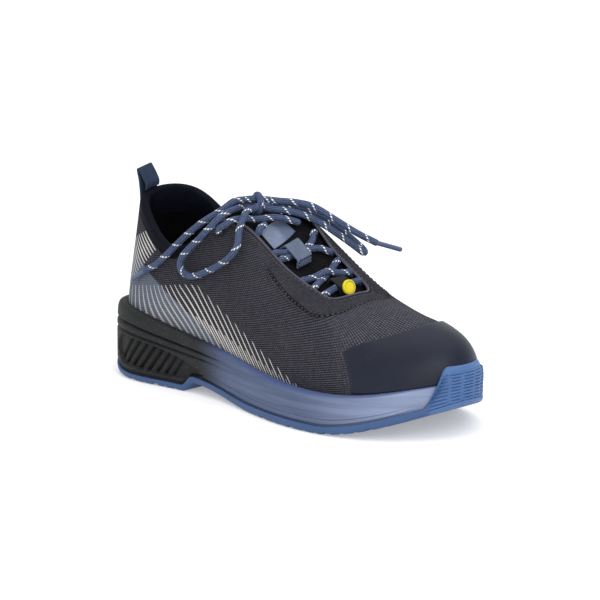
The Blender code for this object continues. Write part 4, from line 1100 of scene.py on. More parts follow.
def upper_marks(u, v, points, edge):
    """Where each place is in the knit, the silver lines, the heel's colour and the seam, in millimetres."""
    run = girth_run(u, GIRTH_LEVEL)
    whole = girth_run(1.0, GIRTH_LEVEL)
    s = np.where(u <= TOE, run, whole - run)[None, :]
    z = points[..., 2] / MM
    pitch = in_mm("hatch_pitch")
    top = np.minimum(HATCH_TOP["heel"] + HATCH_TOP["climb"] * s,
                     HATCH_TOP["turn"] - HATCH_TOP["fall"] * (s - HATCH_TOP["turn_at"]))
    lean = np.interp(s, HATCH_LEAN_AT, HATCH_LEAN)
    depth = top - z
    short_depth = depth - SHORT_SHARE * (top - column(u, "cup")[None, :] / MM)
    turn = (s + lean * (z - HATCH_LEVEL)) / pitch
    counter = COUNTER_LINE["height"] - COUNTER_LINE["fall"] * (s - COUNTER_LINE["at"]) - z
    below = COUNTER_TOP["height"] + COUNTER_TOP["climb"] * (s - COUNTER_TOP["at"]) - z
    near_heel = s < COUNTER_LINE["at"] + COUNTER_TOP["past"]
    counter = np.where(near_heel, np.minimum(counter, below), counter)
    under = HEEL_HATCH_TOP["height"] + HEEL_HATCH_TOP["climb"] * (s - HEEL_HATCH_TOP["at"]) - z
    over = z - HEEL_HATCH_FOOT["height"] - HEEL_HATCH_FOOT["climb"] * (s - HEEL_HATCH_FOOT["at"])
    heel_depth = np.minimum(under, np.minimum(over, edge - HEEL_HATCH["margin"]))
    heel_turn = (z + HEEL_HATCH["slope"] * s) / HEEL_HATCH["pitch"]
    on_side = to_side(u)[None, :]
    seam = seam_line()
    above = v - np.interp(u, seam[:, 0], seam[:, 1])[None, :]
    inside = smooth(-SEAM_SOFT, SEAM_SOFT, above)
    eyestay = inside * smooth(*EYESTAY_FADE, on_side)
    share = smooth(VAMP_START, VAMP_END, on_side) * (1 - inside)
    away = distance_to(points, wall(seam[:, 0], seam[:, 1])) / MM * np.sign(above)
    sewn = smooth(*SEAM_FADE, on_side) + 0 * z
    return {"row": z - ROW_SLOPE * s, "stitch": s + 0 * z, "wale": girth_run(u, VAMP_LEVEL)[None, :] + 0 * z,
            "down": edge, "vamp": share + 0 * z, "turn": turn, "depth": depth, "short_depth": short_depth,
            "width": np.clip(depth / HATCH_WIDENING + HATCH_WIDTHS[0], *HATCH_WIDTHS), "counter": counter,
            "heel_turn": heel_turn, "heel_depth": heel_depth,
            "heel_width": np.clip(HEEL_WIDTH + heel_depth / HEEL_WIDENING, *HEEL_WIDTHS),
            "seam": away, "sewn": sewn, "eyestay": eyestay}


def make_upper():
    """The knit wall as one closed grid: up the outer face, which is the wall with its creases, over a rolled
    edge, half an ellipse as thick as the wall there, and down the lining, the wall drawn in by its
    thickness."""
    u = round_foot(UPPER_HALF)
    u = np.append(u, 1.0)
    top = 1 - EDGE_BAND / (3 * column(u, "reach"))
    outer_v = np.concatenate([np.linspace(0, 1, SIDE_ROW_COUNT)[:-1, None] * top,
                              1 - (1 - top) * np.linspace(1, 0, EDGE_ROW_COUNT)[:, None]])
    bare = wall(u[None], outer_v)
    lift = relief(bare) * smooth(*CREASE_START, outer_v) * (1 - smooth(*CREASE_END, outer_v))
    outer = bare + wall_normal(u[None], outer_v) * lift[..., None]
    ones = np.ones_like(u)
    thick = thickness(u, ones)[:, None]
    normal = wall_normal(u, ones)
    tangent = unit(wall(u, ones) - wall(u, ones - ROLL_LOOK))
    angle = np.linspace(0, np.pi, ROLL_ROWS)[1:-1, None, None]
    roll = wall(u, ones) - normal * thick / 2 * (1 - np.cos(angle))
    roll = roll + tangent * thick * ROLL_HEIGHT * np.sin(angle)
    inner_v = np.linspace(1, 0, LINING_ROW_COUNT)[:, None] * ones
    lining = lifted(u[None], inner_v, -thickness(u[None], inner_v))
    rows = np.concatenate([outer, roll, lining])
    beyond = side_run(outer[::-1], 0)[::-1] / MM
    after = np.concatenate([beyond, side_run(np.concatenate([outer[-1:], roll, lining]), 0)[1:] / MM])
    v = np.concatenate([outer_v, np.ones((len(roll), len(u))), inner_v])
    marks = upper_marks(u, v, rows, after)
    marks = {key: np.concatenate([value, value[:1]]) for key, value in marks.items()}
    marks["along"] = girth_run(u, LINING_LEVEL)[None, :] + 0 * marks["row"]
    marks["across"] = np.concatenate([after, after[:1]])
    on_collar = (column(u, "pad") > COLLAR_FROM) & ((u < COLLAR_ENDS[0]) | (u > COLLAR_ENDS[1]))
    kind = np.zeros((len(rows), len(u) - 1), int)
    count = len(outer)
    band = beyond[:, :-1] < in_mm("collar_band")
    kind[:count][band & on_collar[None, :-1]] = 1
    inside = count + len(roll) + COLLAR_LINING_ROWS
    kind[count - 1:inside] = np.where(on_collar[:-1], 1, 2)
    kind[inside:] = 2
    c = colours()
    satin = woven_finish("collar satin", c.collar, c.collar_light, thread=0.45, depth=0.00008, shine=0.06)
    cloth = cloth_finish("lining", c.lining, c.lining_light, row=1.6, stitch=1.4)
    make_piece("upper_knit", [patch(rows[:, :-1], (True, True), kind.ravel(), **marks)],
               [knit_finish(), satin, cloth], ["upper"])


def make_upper_trim():
    """The piping on the throat's edge, the seams' stitches and the two top eyelets."""
    c, s = colours(), sizes()
    u = np.linspace(*PIPING_ENDS, PIPING_STEPS)
    ones = np.ones_like(u)
    edge = lifted(u, ones, -PIPING_SINK * ones)
    piping = tube(edge, s.piping / 2, sides=10)
    cord = woven_finish("piping", c.piping, c.piping_light, thread=0.6)
    make_piece("throat_piping", [piping], [cord])
    thread = moulded_finish("thread", c.thread, c.thread_light, size=900.0, depth=0.00003)
    rows = []
    line = seam_line(14)
    path = lifted(line[:, 0], line[:, 1], STITCH_LIFT)
    rows.append(stitches(path, wall_normal(line[:, 0], line[:, 1]), s.stitch, s.stitch_gap, s.thread))
    v = 1 - EDGE_SEAM / (3 * column(u, "reach"))
    rows.append(stitches(lifted(u, v, 0.0), wall_normal(u, v), s.stitch, s.stitch_gap, s.thread))
    make_piece("upper_stitches", rows, [thread])
    dark = moulded_finish("eyelet", c.eyelet, c.collar_light, size=900.0)
    rings = []
    for at in EYELETS:
        spot = wall(*np.array(at)[:, None])[0]
        axis = wall_normal(*np.array(at)[:, None])[0]
        rings.append(lathe(spot, axis, np.array(EYELET_PROFILE) * MM, sides=32))
    make_piece("eyelet_rings", rings, [dark])


def make_toe_cap():
    """The film over the toe: a slab with thin rounded edges on the wall moved out by its lift and half its
    thickness. It goes from the foam's rim to a top that falls with the square of the way from the toe."""
    u = blend(TOE - CAP_OUTER, TOE + CAP_INNER, crowded(CAP_COLUMNS, CAP_CROWD))[None, :]
    low = height_share(u, column(u, "cup") + 2 * GAP)
    end = np.where(u < TOE, CAP_OUTER, CAP_INNER)
    top = CAP_TOP - CAP_FALL * (from_toe(u) / end) ** 2
    v = blend(low, top, crowded(CAP_ROWS, CAP_CROWD)[:, None])
    middle = lifted(u, v, CAP_LIFT + CAP_THICK / 2)
    c = colours()
    film = moulded_finish("cap film", c.cap, c.cap_light, size=1500.0, amount=0.45, rough=(0.38, 0.48),
                          depth=0.00004, shine=0.22)
    make_piece("toe_film", slab(middle, CAP_THICK, CAP_RIM), [film], ["toe_cap"])


# The sole

SOLE_HALF = 330
SOLE_CROWD = ((0, 2.6), (0.05, 2.6), (0.34, 2.4), (0.40, 1), (0.85, 1), (1, 1.6))
SIDE_STEPS = 66
# Grooves along the side: their level, half width and depth
HEEL_GROOVES, FORE_GROOVE = ((0.62, 0.020, 0.0016), (0.755, 0.020, 0.0021)), (0.20, 0.012, 0.0005)
SIDE_CROWN, HEEL_LEAN, FORE_LEAN = 0.0015, 0.0007, 0.0022
RIM_FROM, RIM_DRAW, FOOT_TO, FOOT_DRAW = 0.88, 0.0022, 0.10, 0.0015
PANEL_EDGE, PANEL_LEAST_NOSE, PANEL_LEAST_TIP = 0.0012, 0.1, 0.06
SLOT_SOFT, SLOT_START, SLOT_FADE, SLOT_LOSS = 0.0005, (0.0004, 0.0016), (0.45, 0.95), 0.65
RIM_INSIDE, RIM_CROWN = (0.06, 0.5, 1.0), 0.0004
TO_MIDDLE = (0.33, 0.66, 1.0)
FOAM_CHANGE, FOAM_CHANGE_LEAN, FOAM_CHANGE_LEVEL, FOAM_FRONT = (0.092, 0.128), 0.25, 0.02, (0.19, 0.275)


def panel_relief(u, z):
    """How deep the heel panel is at a place: a lens with soft edges, and slanting slots between its slats."""
    s = (to_side(u) - PANEL_ENDS[0]) / (PANEL_ENDS[1] - PANEL_ENDS[0])
    inside = np.clip(s, 1e-4, 1)
    half = PANEL_HALF * np.sqrt(np.clip(inside / PANEL_NOSE, PANEL_LEAST_NOSE, 1))
    half = half * np.clip(1 - inside**PANEL_TAPER, PANEL_LEAST_TIP, 1) ** PANEL_SHARPNESS
    rise = (z - blend(*PANEL_MIDDLE, inside)) / half
    near = np.minimum(half * (1 - np.abs(rise)), np.minimum(s, 1 - s) * PANEL_RUN)
    depth = PANEL_SINK * smooth(0.0, PANEL_EDGE, near)
    across = s - SLOT_SLANT * rise * half / PANEL_RUN
    turn = (across - SLOT_RUN[0]) / (SLOT_RUN[1] - SLOT_RUN[0]) * (SLOT_COUNT - 1)
    away = np.abs(turn - np.round(turn)) * PANEL_RUN * (SLOT_RUN[1] - SLOT_RUN[0]) / (SLOT_COUNT - 1)
    counted = (turn > -0.5) & (turn < SLOT_COUNT - 0.5)
    slot = smooth(SLOT_WIDTH / 2 + SLOT_SOFT, SLOT_WIDTH / 2 - SLOT_SOFT, away) * counted
    fade = 1 - SLOT_LOSS * smooth(*SLOT_FADE, s)
    return depth + SLOT_DEPTH * slot * smooth(*SLOT_START, near) * fade


def groove_at(level, at, width, depth):
    """How deep a groove along the side is at a level: depth times e^-(d/width)^2."""
    return depth * np.exp(-(((level - at) / width) ** 2))


def side_profile(share, level_share, heel_share):
    """How far the midsole's side stands out beyond its foot: at the heel a rounded wall with two grooves, at
    the forefoot a plain one that leans in, both rolled over at the rim. The grooves keep to level_share,
    the share of the height that leaves the arch out."""
    heel = SIDE_CROWN - HEEL_LEAN * share**2
    for groove in HEEL_GROOVES:
        heel = heel - groove_at(level_share, *groove)
    fore = SIDE_CROWN - FORE_LEAN * share**2 - groove_at(share, *FORE_GROOVE)
    near_rim = np.clip((share - RIM_FROM) / (1 - RIM_FROM), 0, 1)
    roll = RIM_DRAW * (1 - np.sqrt(np.clip(1 - near_rim**2, 0, 1)))
    foot = FOOT_DRAW * smooth(FOOT_TO, 0.0, share)
    return blend(fore, heel, heel_share) - roll - foot


def make_midsole():
    """The foam cup: its underside, its side with grooves and heel panels, over the rim, down to the bed."""
    u = round_foot(SOLE_HALF, SOLE_CROWD)
    flat = u[None, :]
    foot = foot_out(u)
    bottom = on_ground(u, foot, lambda x: tread(x) + GAP)
    sill = on_ground(u, foot, lambda x: tread(x) + EDGE_HEIGHT + GAP)
    rim, bed = column(u, "cup"), column(u, "bed") - GAP
    share = np.linspace(0, 1, SIDE_STEPS)[:, None]
    z = blend(sill[:, 2], rim, share)
    heel_share = 1 - smooth(SIDE_HEEL_END, SIDE_FOREFOOT_START, column(u, "along"))
    base = tread(sill[:, 0]) + EDGE_HEIGHT + GAP
    level_share = (z - base) / (rim - base)
    out = foot + side_profile(share, level_share, heel_share) * (1 - tuck(u)) - panel_relief(flat, z)
    side = beside(flat, z, out)
    inner = beside(flat, blend(rim, bed, np.array(RIM_INSIDE)[:, None]), np.array([[BED_GAP]]))
    over = (side[-1:] + inner[:1]) / 2 + [0, 0, RIM_CROWN]
    under = across_foot(bottom, TO_MIDDLE[::-1] + (0.0,))
    rows = np.concatenate([under, side, over, inner, across_foot(inner[-1], TO_MIDDLE)])
    first, last = len(under), len(under) + SIDE_STEPS
    level = np.concatenate([np.zeros(first), share[:, 0], np.ones(len(rows) - last)])[:, None]
    close = np.append(u, 1.0)
    x = np.append(rows[..., 0], rows[:, :1, 0], axis=1)
    height = np.append(rows[..., 2], rows[:, :1, 2], axis=1)
    fore = smooth(*FOAM_CHANGE, x + FOAM_CHANGE_LEAN * (height - FOAM_CHANGE_LEVEL))
    # Painted shade in the heel panel: how deep each place of the side is sunk, as a share
    hollow = np.zeros_like(fore)
    hollow[first:last, :-1] = np.clip(panel_relief(flat, z) / (PANEL_SINK + SLOT_DEPTH), 0, 1)
    hollow[:, -1] = hollow[:, 0]
    marks = {"level": level + 0 * close, "fore": fore, "hollow": hollow, "front": smooth(*FOAM_FRONT, x)}
    make_piece("foam_midsole", [patch(rows, (False, True), **marks)],
               [foam_finish()], ["midsole"])


TREAD_HALF, TREAD_ROWS = 300, 50
ZIGZAG_PITCH, ZIGZAG_WAVE, ZIGZAG_REACH, ZIGZAG_DEPTH = 0.0090, 0.018, 0.0060, 0.0008
CUT_EDGES = (0.0017, 0.0006)
GROOVE_SOFT, GROOVE_END, CUT_START = 0.0005, 0.002, 0.004
TREAD_CROWD = ((0, 1.6), (0.1, 1), (0.78, 1), (0.86, 1.9), (1, 1.9))
CORNER_ROWS = 6
RIB_COUNT, RIB_STEPS, ABOVE_RIBS, RIB_EDGES, RIB_END = 9, 8, 12, (0.42, 0.80), 0.93
BUMPER_CHANNELS = (-0.0193, -0.0073, 0.0073, 0.0193)
CHANNEL_EDGES, CHANNEL_DEPTH = (0.0017, 0.0007), 0.0009
STEP_RUN, LIP_DRAW, LIP_FROM, BUMPER_GROWN = 0.03, 0.0012, 0.94, 0.25
OUTSOLE_INSIDE = (0.0, 0.3, 0.65, 1.0)
INSOLE_HALF, INSOLE_BEND, INSOLE_ROWS, INSOLE_ROUND = 150, 9, 24, 0.001


def tread_relief(x, y):
    """How high the tread's grooves go: straight ones across and along, as in the solids, and fine zigzag
    cuts between them."""
    half = GROOVE_WIDTH / 2
    high = np.zeros_like(x)
    for at in CROSS_GROOVES:
        cut = smooth(half + GROOVE_SOFT, half - GROOVE_SOFT, np.abs(x - at))
        high = np.maximum(high, GROOVE_DEPTH * cut)
    for start, end in LONG_GROOVES:
        along = smooth(start, start + GROOVE_END, x) * smooth(end, end - GROOVE_END, x)
        cut = smooth(half + GROOVE_SOFT, half - GROOVE_SOFT, np.abs(y))
        high = np.maximum(high, GROOVE_DEPTH * along * cut)
    zigzag = np.abs((y / ZIGZAG_WAVE) % 2 - 1) * ZIGZAG_REACH
    cut = np.abs(((x + zigzag) / ZIGZAG_PITCH) % 1 - 0.5) * ZIGZAG_PITCH
    lug = (smooth(HEEL_FRONT, HEEL_FRONT - CUT_START, x)
           + smooth(FOREFOOT_BACK, FOREFOOT_BACK + CUT_START, x))
    return np.maximum(high, ZIGZAG_DEPTH * smooth(*CUT_EDGES, cut) * lug)


def make_outsole():
    """The rubber: its grooved tread, its low edge that climbs into a bumper, and its inside. The bumper's
    ribs are a zigzag of the height with its points rounded off, cut through by upright channels."""
    u = round_foot(TREAD_HALF, TREAD_CROWD)
    flat = u[None, :]
    up = climb(u)
    inside = foot_out(u) + blend(GAP, 2 * GAP, tuck(u))
    outside = inside + blend(EDGE_WALL, BUMPER_WALL, up)
    floor = on_ground(u, inside, tread)
    edge = on_ground(u, inside, lambda x: tread(x) + EDGE_HEIGHT)[:, 2]
    top = blend(edge, BUMPER_TOP, up)
    bend = np.linspace(0, np.pi / 2, CORNER_ROWS)[:, None]
    round_out = outside - EDGE_ROUND * (1 - np.sin(bend))
    corner = np.stack([on_ground(u, out, 0.0) for out in round_out])
    corner[..., 2] += EDGE_ROUND * (1 - np.cos(bend))
    low = corner[-1, :, 2]
    share = np.linspace(0, 1, RIB_COUNT * RIB_STEPS + ABOVE_RIBS)[1:, None]
    z = blend(low, top, share)
    height = (z - low) / (BUMPER_TOP - low)
    rib = np.abs(((height / BUMPER_BAND * RIB_COUNT) % 1) - 0.5) * 2
    groove = RIB_DEPTH * smooth(*RIB_EDGES, rib) * (height < BUMPER_BAND) * (share < RIB_END)
    channel = np.zeros_like(u)
    for at in BUMPER_CHANNELS:
        channel = np.maximum(channel, smooth(*CHANNEL_EDGES, np.abs(from_toe(u) - at)))
    groove = np.maximum(groove, CHANNEL_DEPTH * channel * (height < BUMPER_BAND))
    step = BUMPER_STEP * smooth(BUMPER_BAND, BUMPER_BAND + STEP_RUN, height)
    lip = LIP_DRAW * np.clip((share - LIP_FROM) / (1 - LIP_FROM), 0, 1) ** 2
    side = beside(flat, z, outside - (groove + step + lip) * smooth(0.0, BUMPER_GROWN, up))
    inner = beside(flat, blend(top, floor[:, 2], np.array(OUTSOLE_INSIDE)[:, None]), inside[None])
    under = across_foot(corner[0], np.linspace(1, 0, TREAD_ROWS)[:-1])
    under[..., 2] = ground(under[..., 0])
    rows = np.concatenate([under, corner, side, inner, across_foot(inner[-1], TO_MIDDLE)])
    count = len(under) + len(corner)
    sunk = ground(rows[:count, :, 0]) + tread_relief(rows[:count, :, 0], rows[:count, :, 1])
    rows[:count, :, 2] = np.maximum(rows[:count, :, 2], sunk)
    bumper = np.append(up, up[0])[None, :] * np.ones((len(rows), 1))
    make_piece("rubber_outsole", [patch(rows, (False, True), bumper=bumper)], [rubber_finish()],
               ["outsole"])


def make_insole():
    """The footbed: a flat pad whose edge is half an ellipse, as far in from the wall all round."""
    u = round_foot(INSOLE_HALF)
    bed = column(u, "bed")
    inset = WALL + INSOLE_INSET
    bend = np.linspace(0, np.pi, INSOLE_BEND)
    half = INSOLE / 2
    rim = np.stack([beside(u, bed + GAP + half - half * np.cos(a), -inset - INSOLE_ROUND * (1 - np.sin(a)))
                    for a in bend])
    over = across_foot(rim[-1], np.linspace(0, 1, INSOLE_ROWS)[1:])
    rows = np.concatenate([across_foot(rim[0], (1.0, 0.5)), rim, over])
    marks = {"along": rows[..., 0] / MM, "across": rows[..., 1] / MM}
    marks = {key: np.append(value, value[:, :1], axis=1) for key, value in marks.items()}
    c = colours()
    cloth = cloth_finish("footbed cloth", c.lining, c.lining_light, row=1.2, stitch=1.8)
    make_piece("footbed", [patch(rows, (False, True), **marks)], [cloth], ["insole"])


# The tongue and its trim

TONGUE_PIECES, TONGUE_FULL, TONGUE_RIM = (12, 7), 0.97, 0.0020
STRAP_ROWS, STRAP_COLUMNS, STRAP_CROWD, STRAP_RIM = 60, 40, 0.7, 0.0006
SEWN_ROWS, SEWN_COLUMNS = (45, 55), (5, 34)
SEWN_STITCH, SEWN_GAP, SEWN_THREAD = 0.0016, 0.0004, 0.0009
LABEL_THICK, LABEL_RIM, LABEL_PAINTED_SHADE = 0.0006, 0.0004, (11.0, 21.0)
BADGE_PROFILE = ((0, 0), (0.9, 0), (1, 0.12), (1, 0.72), (0.95, 0.95), (0.88, 1.0), (0.80, 0.94),
                 (0.76, 0.86), (0.3, 0.86), (0, 0.86))
BADGE_SHADE_RING = (3.55, 0.45)
LOOP_COLUMNS, LOOP_PIECES = 30, 14


def tongue_face():
    """The tongue's face: sections under the throat's edges and across it, joined by curves both ways."""
    side = np.array([-1.0] * len(TONGUE_UNDERLAP) + list(TONGUE_ACROSS) + [1.0] * len(TONGUE_UNDERLAP))
    sections = []
    for along, forward, up, crown, width, tilt in TONGUE_SECTIONS:
        x = np.array(along * LENGTH)
        outer = [under_edge(x, -1, v) for v in TONGUE_UNDERLAP]
        inner = [under_edge(x, 1, v) for v in reversed(TONGUE_UNDERLAP)]
        bridge = [blend(outer[-1], inner[0], (1 + w) / 2) + [0, 0, crown * (1 - w * w)]
                  for w in TONGUE_ACROSS]
        section = np.array(outer + bridge + inner) * [1, width, 1] + [forward, 0, up]
        section[:, 2] += tilt * side
        sections.append(section)
    face = curve_through(np.array(sections), TONGUE_PIECES[0])
    return np.swapaxes(curve_through(np.swapaxes(face, 0, 1), TONGUE_PIECES[1]), 0, 1)


def make_tongue():
    """The padded tongue: a slab behind its face, half its thickness below it, with round edges."""
    face = tongue_face()
    middle = face - np.array([TONGUE_LEAN * TONGUE, 0, TONGUE]) / 2
    c = colours()
    mesh = cloth_finish("tongue mesh", c.mesh, c.mesh_light, row=1.5, stitch=1.5, depth=0.0004, gap=0.6)
    pad = slab(middle, TONGUE * TONGUE_FULL, TONGUE_RIM)
    thing = make_piece("tongue_pad", pad, [mesh], ["tongue"])


def hump(s, height):
    """Lifts for a strap that rises over a lace and comes down again, in an even S at each end."""
    over = smooth(0.0, STRAP_RAMP, s) * (1 - smooth(1 - STRAP_RAMP, 1.0, s))
    return LACE_REST + (height - LACE_REST) * over


def strap(place_on, finish_made, name, replaces, thread):
    """A strap along the tongue that stands over the lace in its middle, its lower end sewn in a box."""
    s = crowded(STRAP_ROWS, STRAP_CROWD)
    across = blend(*place_on["across"], crowded(STRAP_COLUMNS, STRAP_CROWD))[None, :]
    along = blend(*place_on["along"], s)[:, None] + place_on["skew"] * across
    lift = hump(s, STRAP_HEIGHT)[:, None]
    middle = tongue_top(along, across, lift + place_on["thick"] / 2)
    make_piece(name, slab(middle, place_on["thick"], STRAP_RIM), [finish_made], [replaces])
    normal = grid_normal(middle)
    face = middle + normal * place_on["thick"] / 2
    (top, low), (left, right) = SEWN_ROWS, SEWN_COLUMNS
    box, up = (np.concatenate([grid[top, left:right], grid[top:low, right], grid[low, right:left:-1],
                               grid[low:top:-1, left]]) for grid in (face, normal))
    lines = stitches(box, up, SEWN_STITCH, SEWN_GAP, SEWN_THREAD)
    make_piece(name + "_stitches", [lines], [thread])


def make_trim():
    """The satin label, the strap that keeps the lace, the loop with the round badge, and their stitches."""
    c = colours()
    shares = crowded(STRAP_COLUMNS, STRAP_CROWD)
    across = blend(*LABEL["across"], shares)[None, :]
    along = blend(*LABEL["along"], shares)[:, None] + LABEL["skew"] * across
    middle = tongue_top(along, across, sum(LABEL["lift"]) / 2)
    # The label's satin takes painted shade towards its inner edge
    satin = woven_finish("label satin", c.label, c.label_light, thread=0.35, rough=(0.42, 0.34),
                         depth=0.00004, shine=0.5, fade=LABEL_PAINTED_SHADE)
    make_piece("satin_label", slab(middle, LABEL_THICK, LABEL_RIM), [satin], ["tongue_label"])
    keeper = woven_finish("keeper ribbon", c.keeper, c.keeper_light, thread=0.4, rough=(0.5, 0.4),
                          depth=0.00006, shine=0.5)
    thread = moulded_finish("dark thread", c.eyelet, c.lining_light, size=900.0, depth=0.00003, shine=0.1)
    strap(KEEPER, keeper, "keeper_ribbon", "lace_keeper", thread)
    loop = woven_finish("badge webbing", c.mesh, c.mesh_light, thread=0.7)
    strap(BADGE_LOOP, loop, "badge_webbing", "badge_loop", thread)
    axis = unit(BADGE_FACING)
    low = np.array(BADGE_PLACE) * MM - axis * BADGE_THICK / 2
    profile = curve_through(BADGE_PROFILE, 4) * [BADGE_RADIUS, BADGE_THICK]
    enamel = moulded_finish("badge enamel", c.badge, c.badge_light, size=300.0, amount=0.5,
                            rough=(0.28, 0.38), depth=0.00002, ring=BADGE_SHADE_RING)
    make_piece("round_badge", [lathe(low, axis, profile, sides=64)], [enamel], ["badge"])


def make_pull_loop():
    """The webbing loop: a slab on a smooth curve through six lines, from outside the heel, over in an arch
    and down on the collar's rim."""
    u = LOOP_HALF_WIDTH * (2 * crowded(LOOP_COLUMNS, STRAP_CROWD) - 1)
    ones = np.ones_like(u)
    off = LOOP_THICK / 2 + 2 * GAP
    edge = wall(u, ones)
    out = outward(u)
    rim = edge - out * (thickness(u, ones) * LOOP_INNER)[:, None]
    up = np.array([0.0, 0.0, LOOP_RISE])
    crown = edge + up + np.array([LOOP_LEAN, 0.0, 0.0])
    crown[:, 0] = np.interp(0.0, u, crown[:, 0])
    path = [lifted(u, ones * LOOP_SEAMS[0], off), lifted(u, ones * LOOP_SEAMS[1], off),
            edge + out * LOOP_BULGE_OUT + up * LOOP_SHOULDER, crown,
            rim + up * LOOP_SHOULDER, rim + [0.0, 0.0, LOOP_FOOT]]
    middle = curve_through(np.array(path), LOOP_PIECES)
    c = colours()
    webbing = woven_finish("pull webbing", c.webbing, c.webbing_light, thread=0.7)
    make_piece("pull_webbing", slab(middle, LOOP_THICK, STRAP_RIM), [webbing], ["pull_loop"])


# The lace

LACE_STEP, KNOT_STEPS, TIP_STEPS = 0.0008, 64, 24
STRAND_DIVE, STRAND_REACH, STRAND_LEAD, HOP_WIDTH = 0.0030, 0.16, 0.12, 0.38
STRAND_HOPS = {"lace_bar_bottom": (0.0,), "lace_cross_lower": (0.0030, -0.0004),
               "lace_cross_upper": (0.0012, -0.0006)}


def held_strand(strand, hop):
    """A strand across the tongue: it dives under the throat's edge at both ends and hops over the other."""
    fine = curve_through(np.array(strand), 8)
    before = fine[0] + np.array([STRAND_LEAD * (fine[0, 0] - strand[1][0]), -STRAND_REACH])
    after = fine[-1] + np.array([STRAND_LEAD * (fine[-1, 0] - strand[-2][0]), STRAND_REACH])
    rows = np.concatenate([[before], fine, [after]])
    lift = hop * np.exp(-((rows[:, 1] / HOP_WIDTH) ** 2))
    lift[[0, -1]] = -STRAND_DIVE
    points = tongue_top(rows[:, 0], rows[:, 1], lift + LACE / 2 + LACE_REST)
    return evenly(points, LACE_STEP)


def make_lace():
    """The round lace: held strands, the knot, the free ends and loops, and their tips."""
    c = colours()
    braid = lace_finish()
    for name, strands in STRANDS.items():
        hops = STRAND_HOPS[name]
        tubes = [tube(held_strand(strand, hop), LACE / 2) for strand, hop in zip(strands, hops)]
        make_piece(name + "_braid", tubes, [braid], [name])
    for name, route in HELD_ROUTES.items():
        path = evenly(np.array(route) * MM, LACE_STEP)
        make_piece(name + "_braid", [tube(path, LACE / 2)], [braid], [name])
    along = unit(KNOT_WRAP["along"])
    side = unit(np.cross(along, [0, 0, 1.0]))
    angle = np.linspace(0, 2 * np.pi, KNOT_STEPS, endpoint=False)[:, None]
    ring = (np.array(KNOT_WRAP["middle"]) + KNOT_WRAP["radii"][0] * np.cos(angle) * side
            + KNOT_WRAP["radii"][1] * np.sin(angle) * np.cross(side, along)) * MM
    tubes = [tube(evenly(np.array(strand) * MM, LACE_STEP), LACE / 2) for strand in KNOT_STRANDS]
    tubes.append(tube(ring, LACE / 2, closed=True))
    make_piece("lace_knot_braid", tubes, [braid], ["lace_knot"])
    film = moulded_finish("tip film", c.tip, c.tip_light, size=1200.0, rough=(0.35, 0.45), depth=0.00004)
    for name, route in TIP_ROUTES.items():
        path = np.linspace(*np.array(route) * MM, TIP_STEPS)
        make_piece(name + "_film", [tube(path, LACE_TIP / 2, sides=16)], [film],
                                [name])
    for name, route in FREE_ROUTES.items():
        path = evenly(np.array(route) * MM, LACE_STEP)
        thing = make_piece(name + "_braid", [tube(path, LACE / 2)], [braid], [name])


# The stage

FLOOR_SIZE, FLOOR_GLOW = 14.0, 0.30
LIGHTS = (
    ("sky_box", (0.2, 0.1, 1.7), (0.0, 0.0, 0.0), 2.0, 13.0),
    ("front_box", (1.7, -0.9, 0.9), (0.0, 0.0, 0.03), 1.6, 20.0),
    ("side_box", (-0.6, -1.8, 0.9), (0.0, 0.0, 0.05), 1.4, 3.0),
)
WORLD_LIGHT = 0.95


def aim_at(place, target):
    """A turn that points an object's -Z from a place to a target."""
    back = unit(np.array(place) - np.array(target))
    right = unit(np.cross([0.0, 0.0, 1.0], back))
    return pose(right, np.cross(back, right), back, place)


def pose(right, up, back, place):
    """The matrix of an object at a place, from its three axes."""
    made = Matrix.Identity(4)
    for k, axis in enumerate((right, up, back, place)):
        for row in range(3):
            made[row][k] = axis[row]
    return made


def make_camera():
    """The photo's camera: its angles round and above the aim, its roll, and where its middle falls."""
    turn, fall, roll = (math.radians(CAMERA[key]) for key in ("turn", "fall", "roll"))
    right = np.array([math.cos(turn), math.sin(turn), 0.0])
    ahead = np.array([-math.sin(turn) * math.cos(fall), math.cos(turn) * math.cos(fall), -math.sin(fall)])
    up = np.cross(right, ahead)
    eye = np.array(CAMERA["aim"]) - CAMERA["away"] * ahead + HEEL_END
    off_right, off_up = np.array(CAMERA["centre_off"]) / CAMERA["focal"]
    back = -unit(ahead + right * off_right + up * off_up)
    level = math.cos(roll) * right + math.sin(roll) * up
    level = unit(level - back * (level @ back))
    data = bpy.data.cameras.new("camera")
    data.sensor_width = SENSOR
    data.lens = CAMERA["focal"] / FRAME_PIXELS * SENSOR
    data.clip_end = CLIP_END
    camera = linked("camera", data)
    camera.matrix_world = pose(level, np.cross(back, level), back, eye)
    bpy.context.scene.camera = camera


def make_floor():
    """A plain pale floor."""
    side = np.linspace(-FLOOR_SIZE / 2, FLOOR_SIZE / 2, 3)
    x, y = np.meshgrid(side, side, indexing="ij")
    points = np.stack([x, y, np.zeros_like(x)], -1).reshape(-1, 3)
    r, c = grid_faces(3, 3, (False, False))
    mesh = bpy.data.meshes.new("floor")
    mesh.from_pydata(points.tolist(), [], (r * 3 + c)[:, ::-1].tolist())
    floor = linked("floor", mesh)

    def fill(n):
        cloud = n.noise(3.0, 2.0)
        return {"Base Color": n.mix(n.times(cloud, 0.1), colours().floor, (0.8, 0.8, 0.8))}

    mesh.materials.append(finish("floor paper", fill, Roughness=0.9, Emission_Color=(1.0, 1.0, 1.0),
                                 Emission_Strength=FLOOR_GLOW))


def make_lights():
    """A pale surround and three soft boxes."""
    world = bpy.data.worlds.new("surround")
    world.use_nodes = True
    world.node_tree.nodes["Background"].inputs["Color"].default_value = (1.0, 1.0, 1.0, 1.0)
    world.node_tree.nodes["Background"].inputs["Strength"].default_value = WORLD_LIGHT
    bpy.context.scene.world = world
    for name, place, target, size, power in LIGHTS:
        data = bpy.data.lights.new(name, "AREA")
        data.shape = "SQUARE"
        data.size = size
        data.energy = power
        linked(name, data).matrix_world = aim_at(place, target)
    bpy.context.scene.view_settings.view_transform = "Standard"


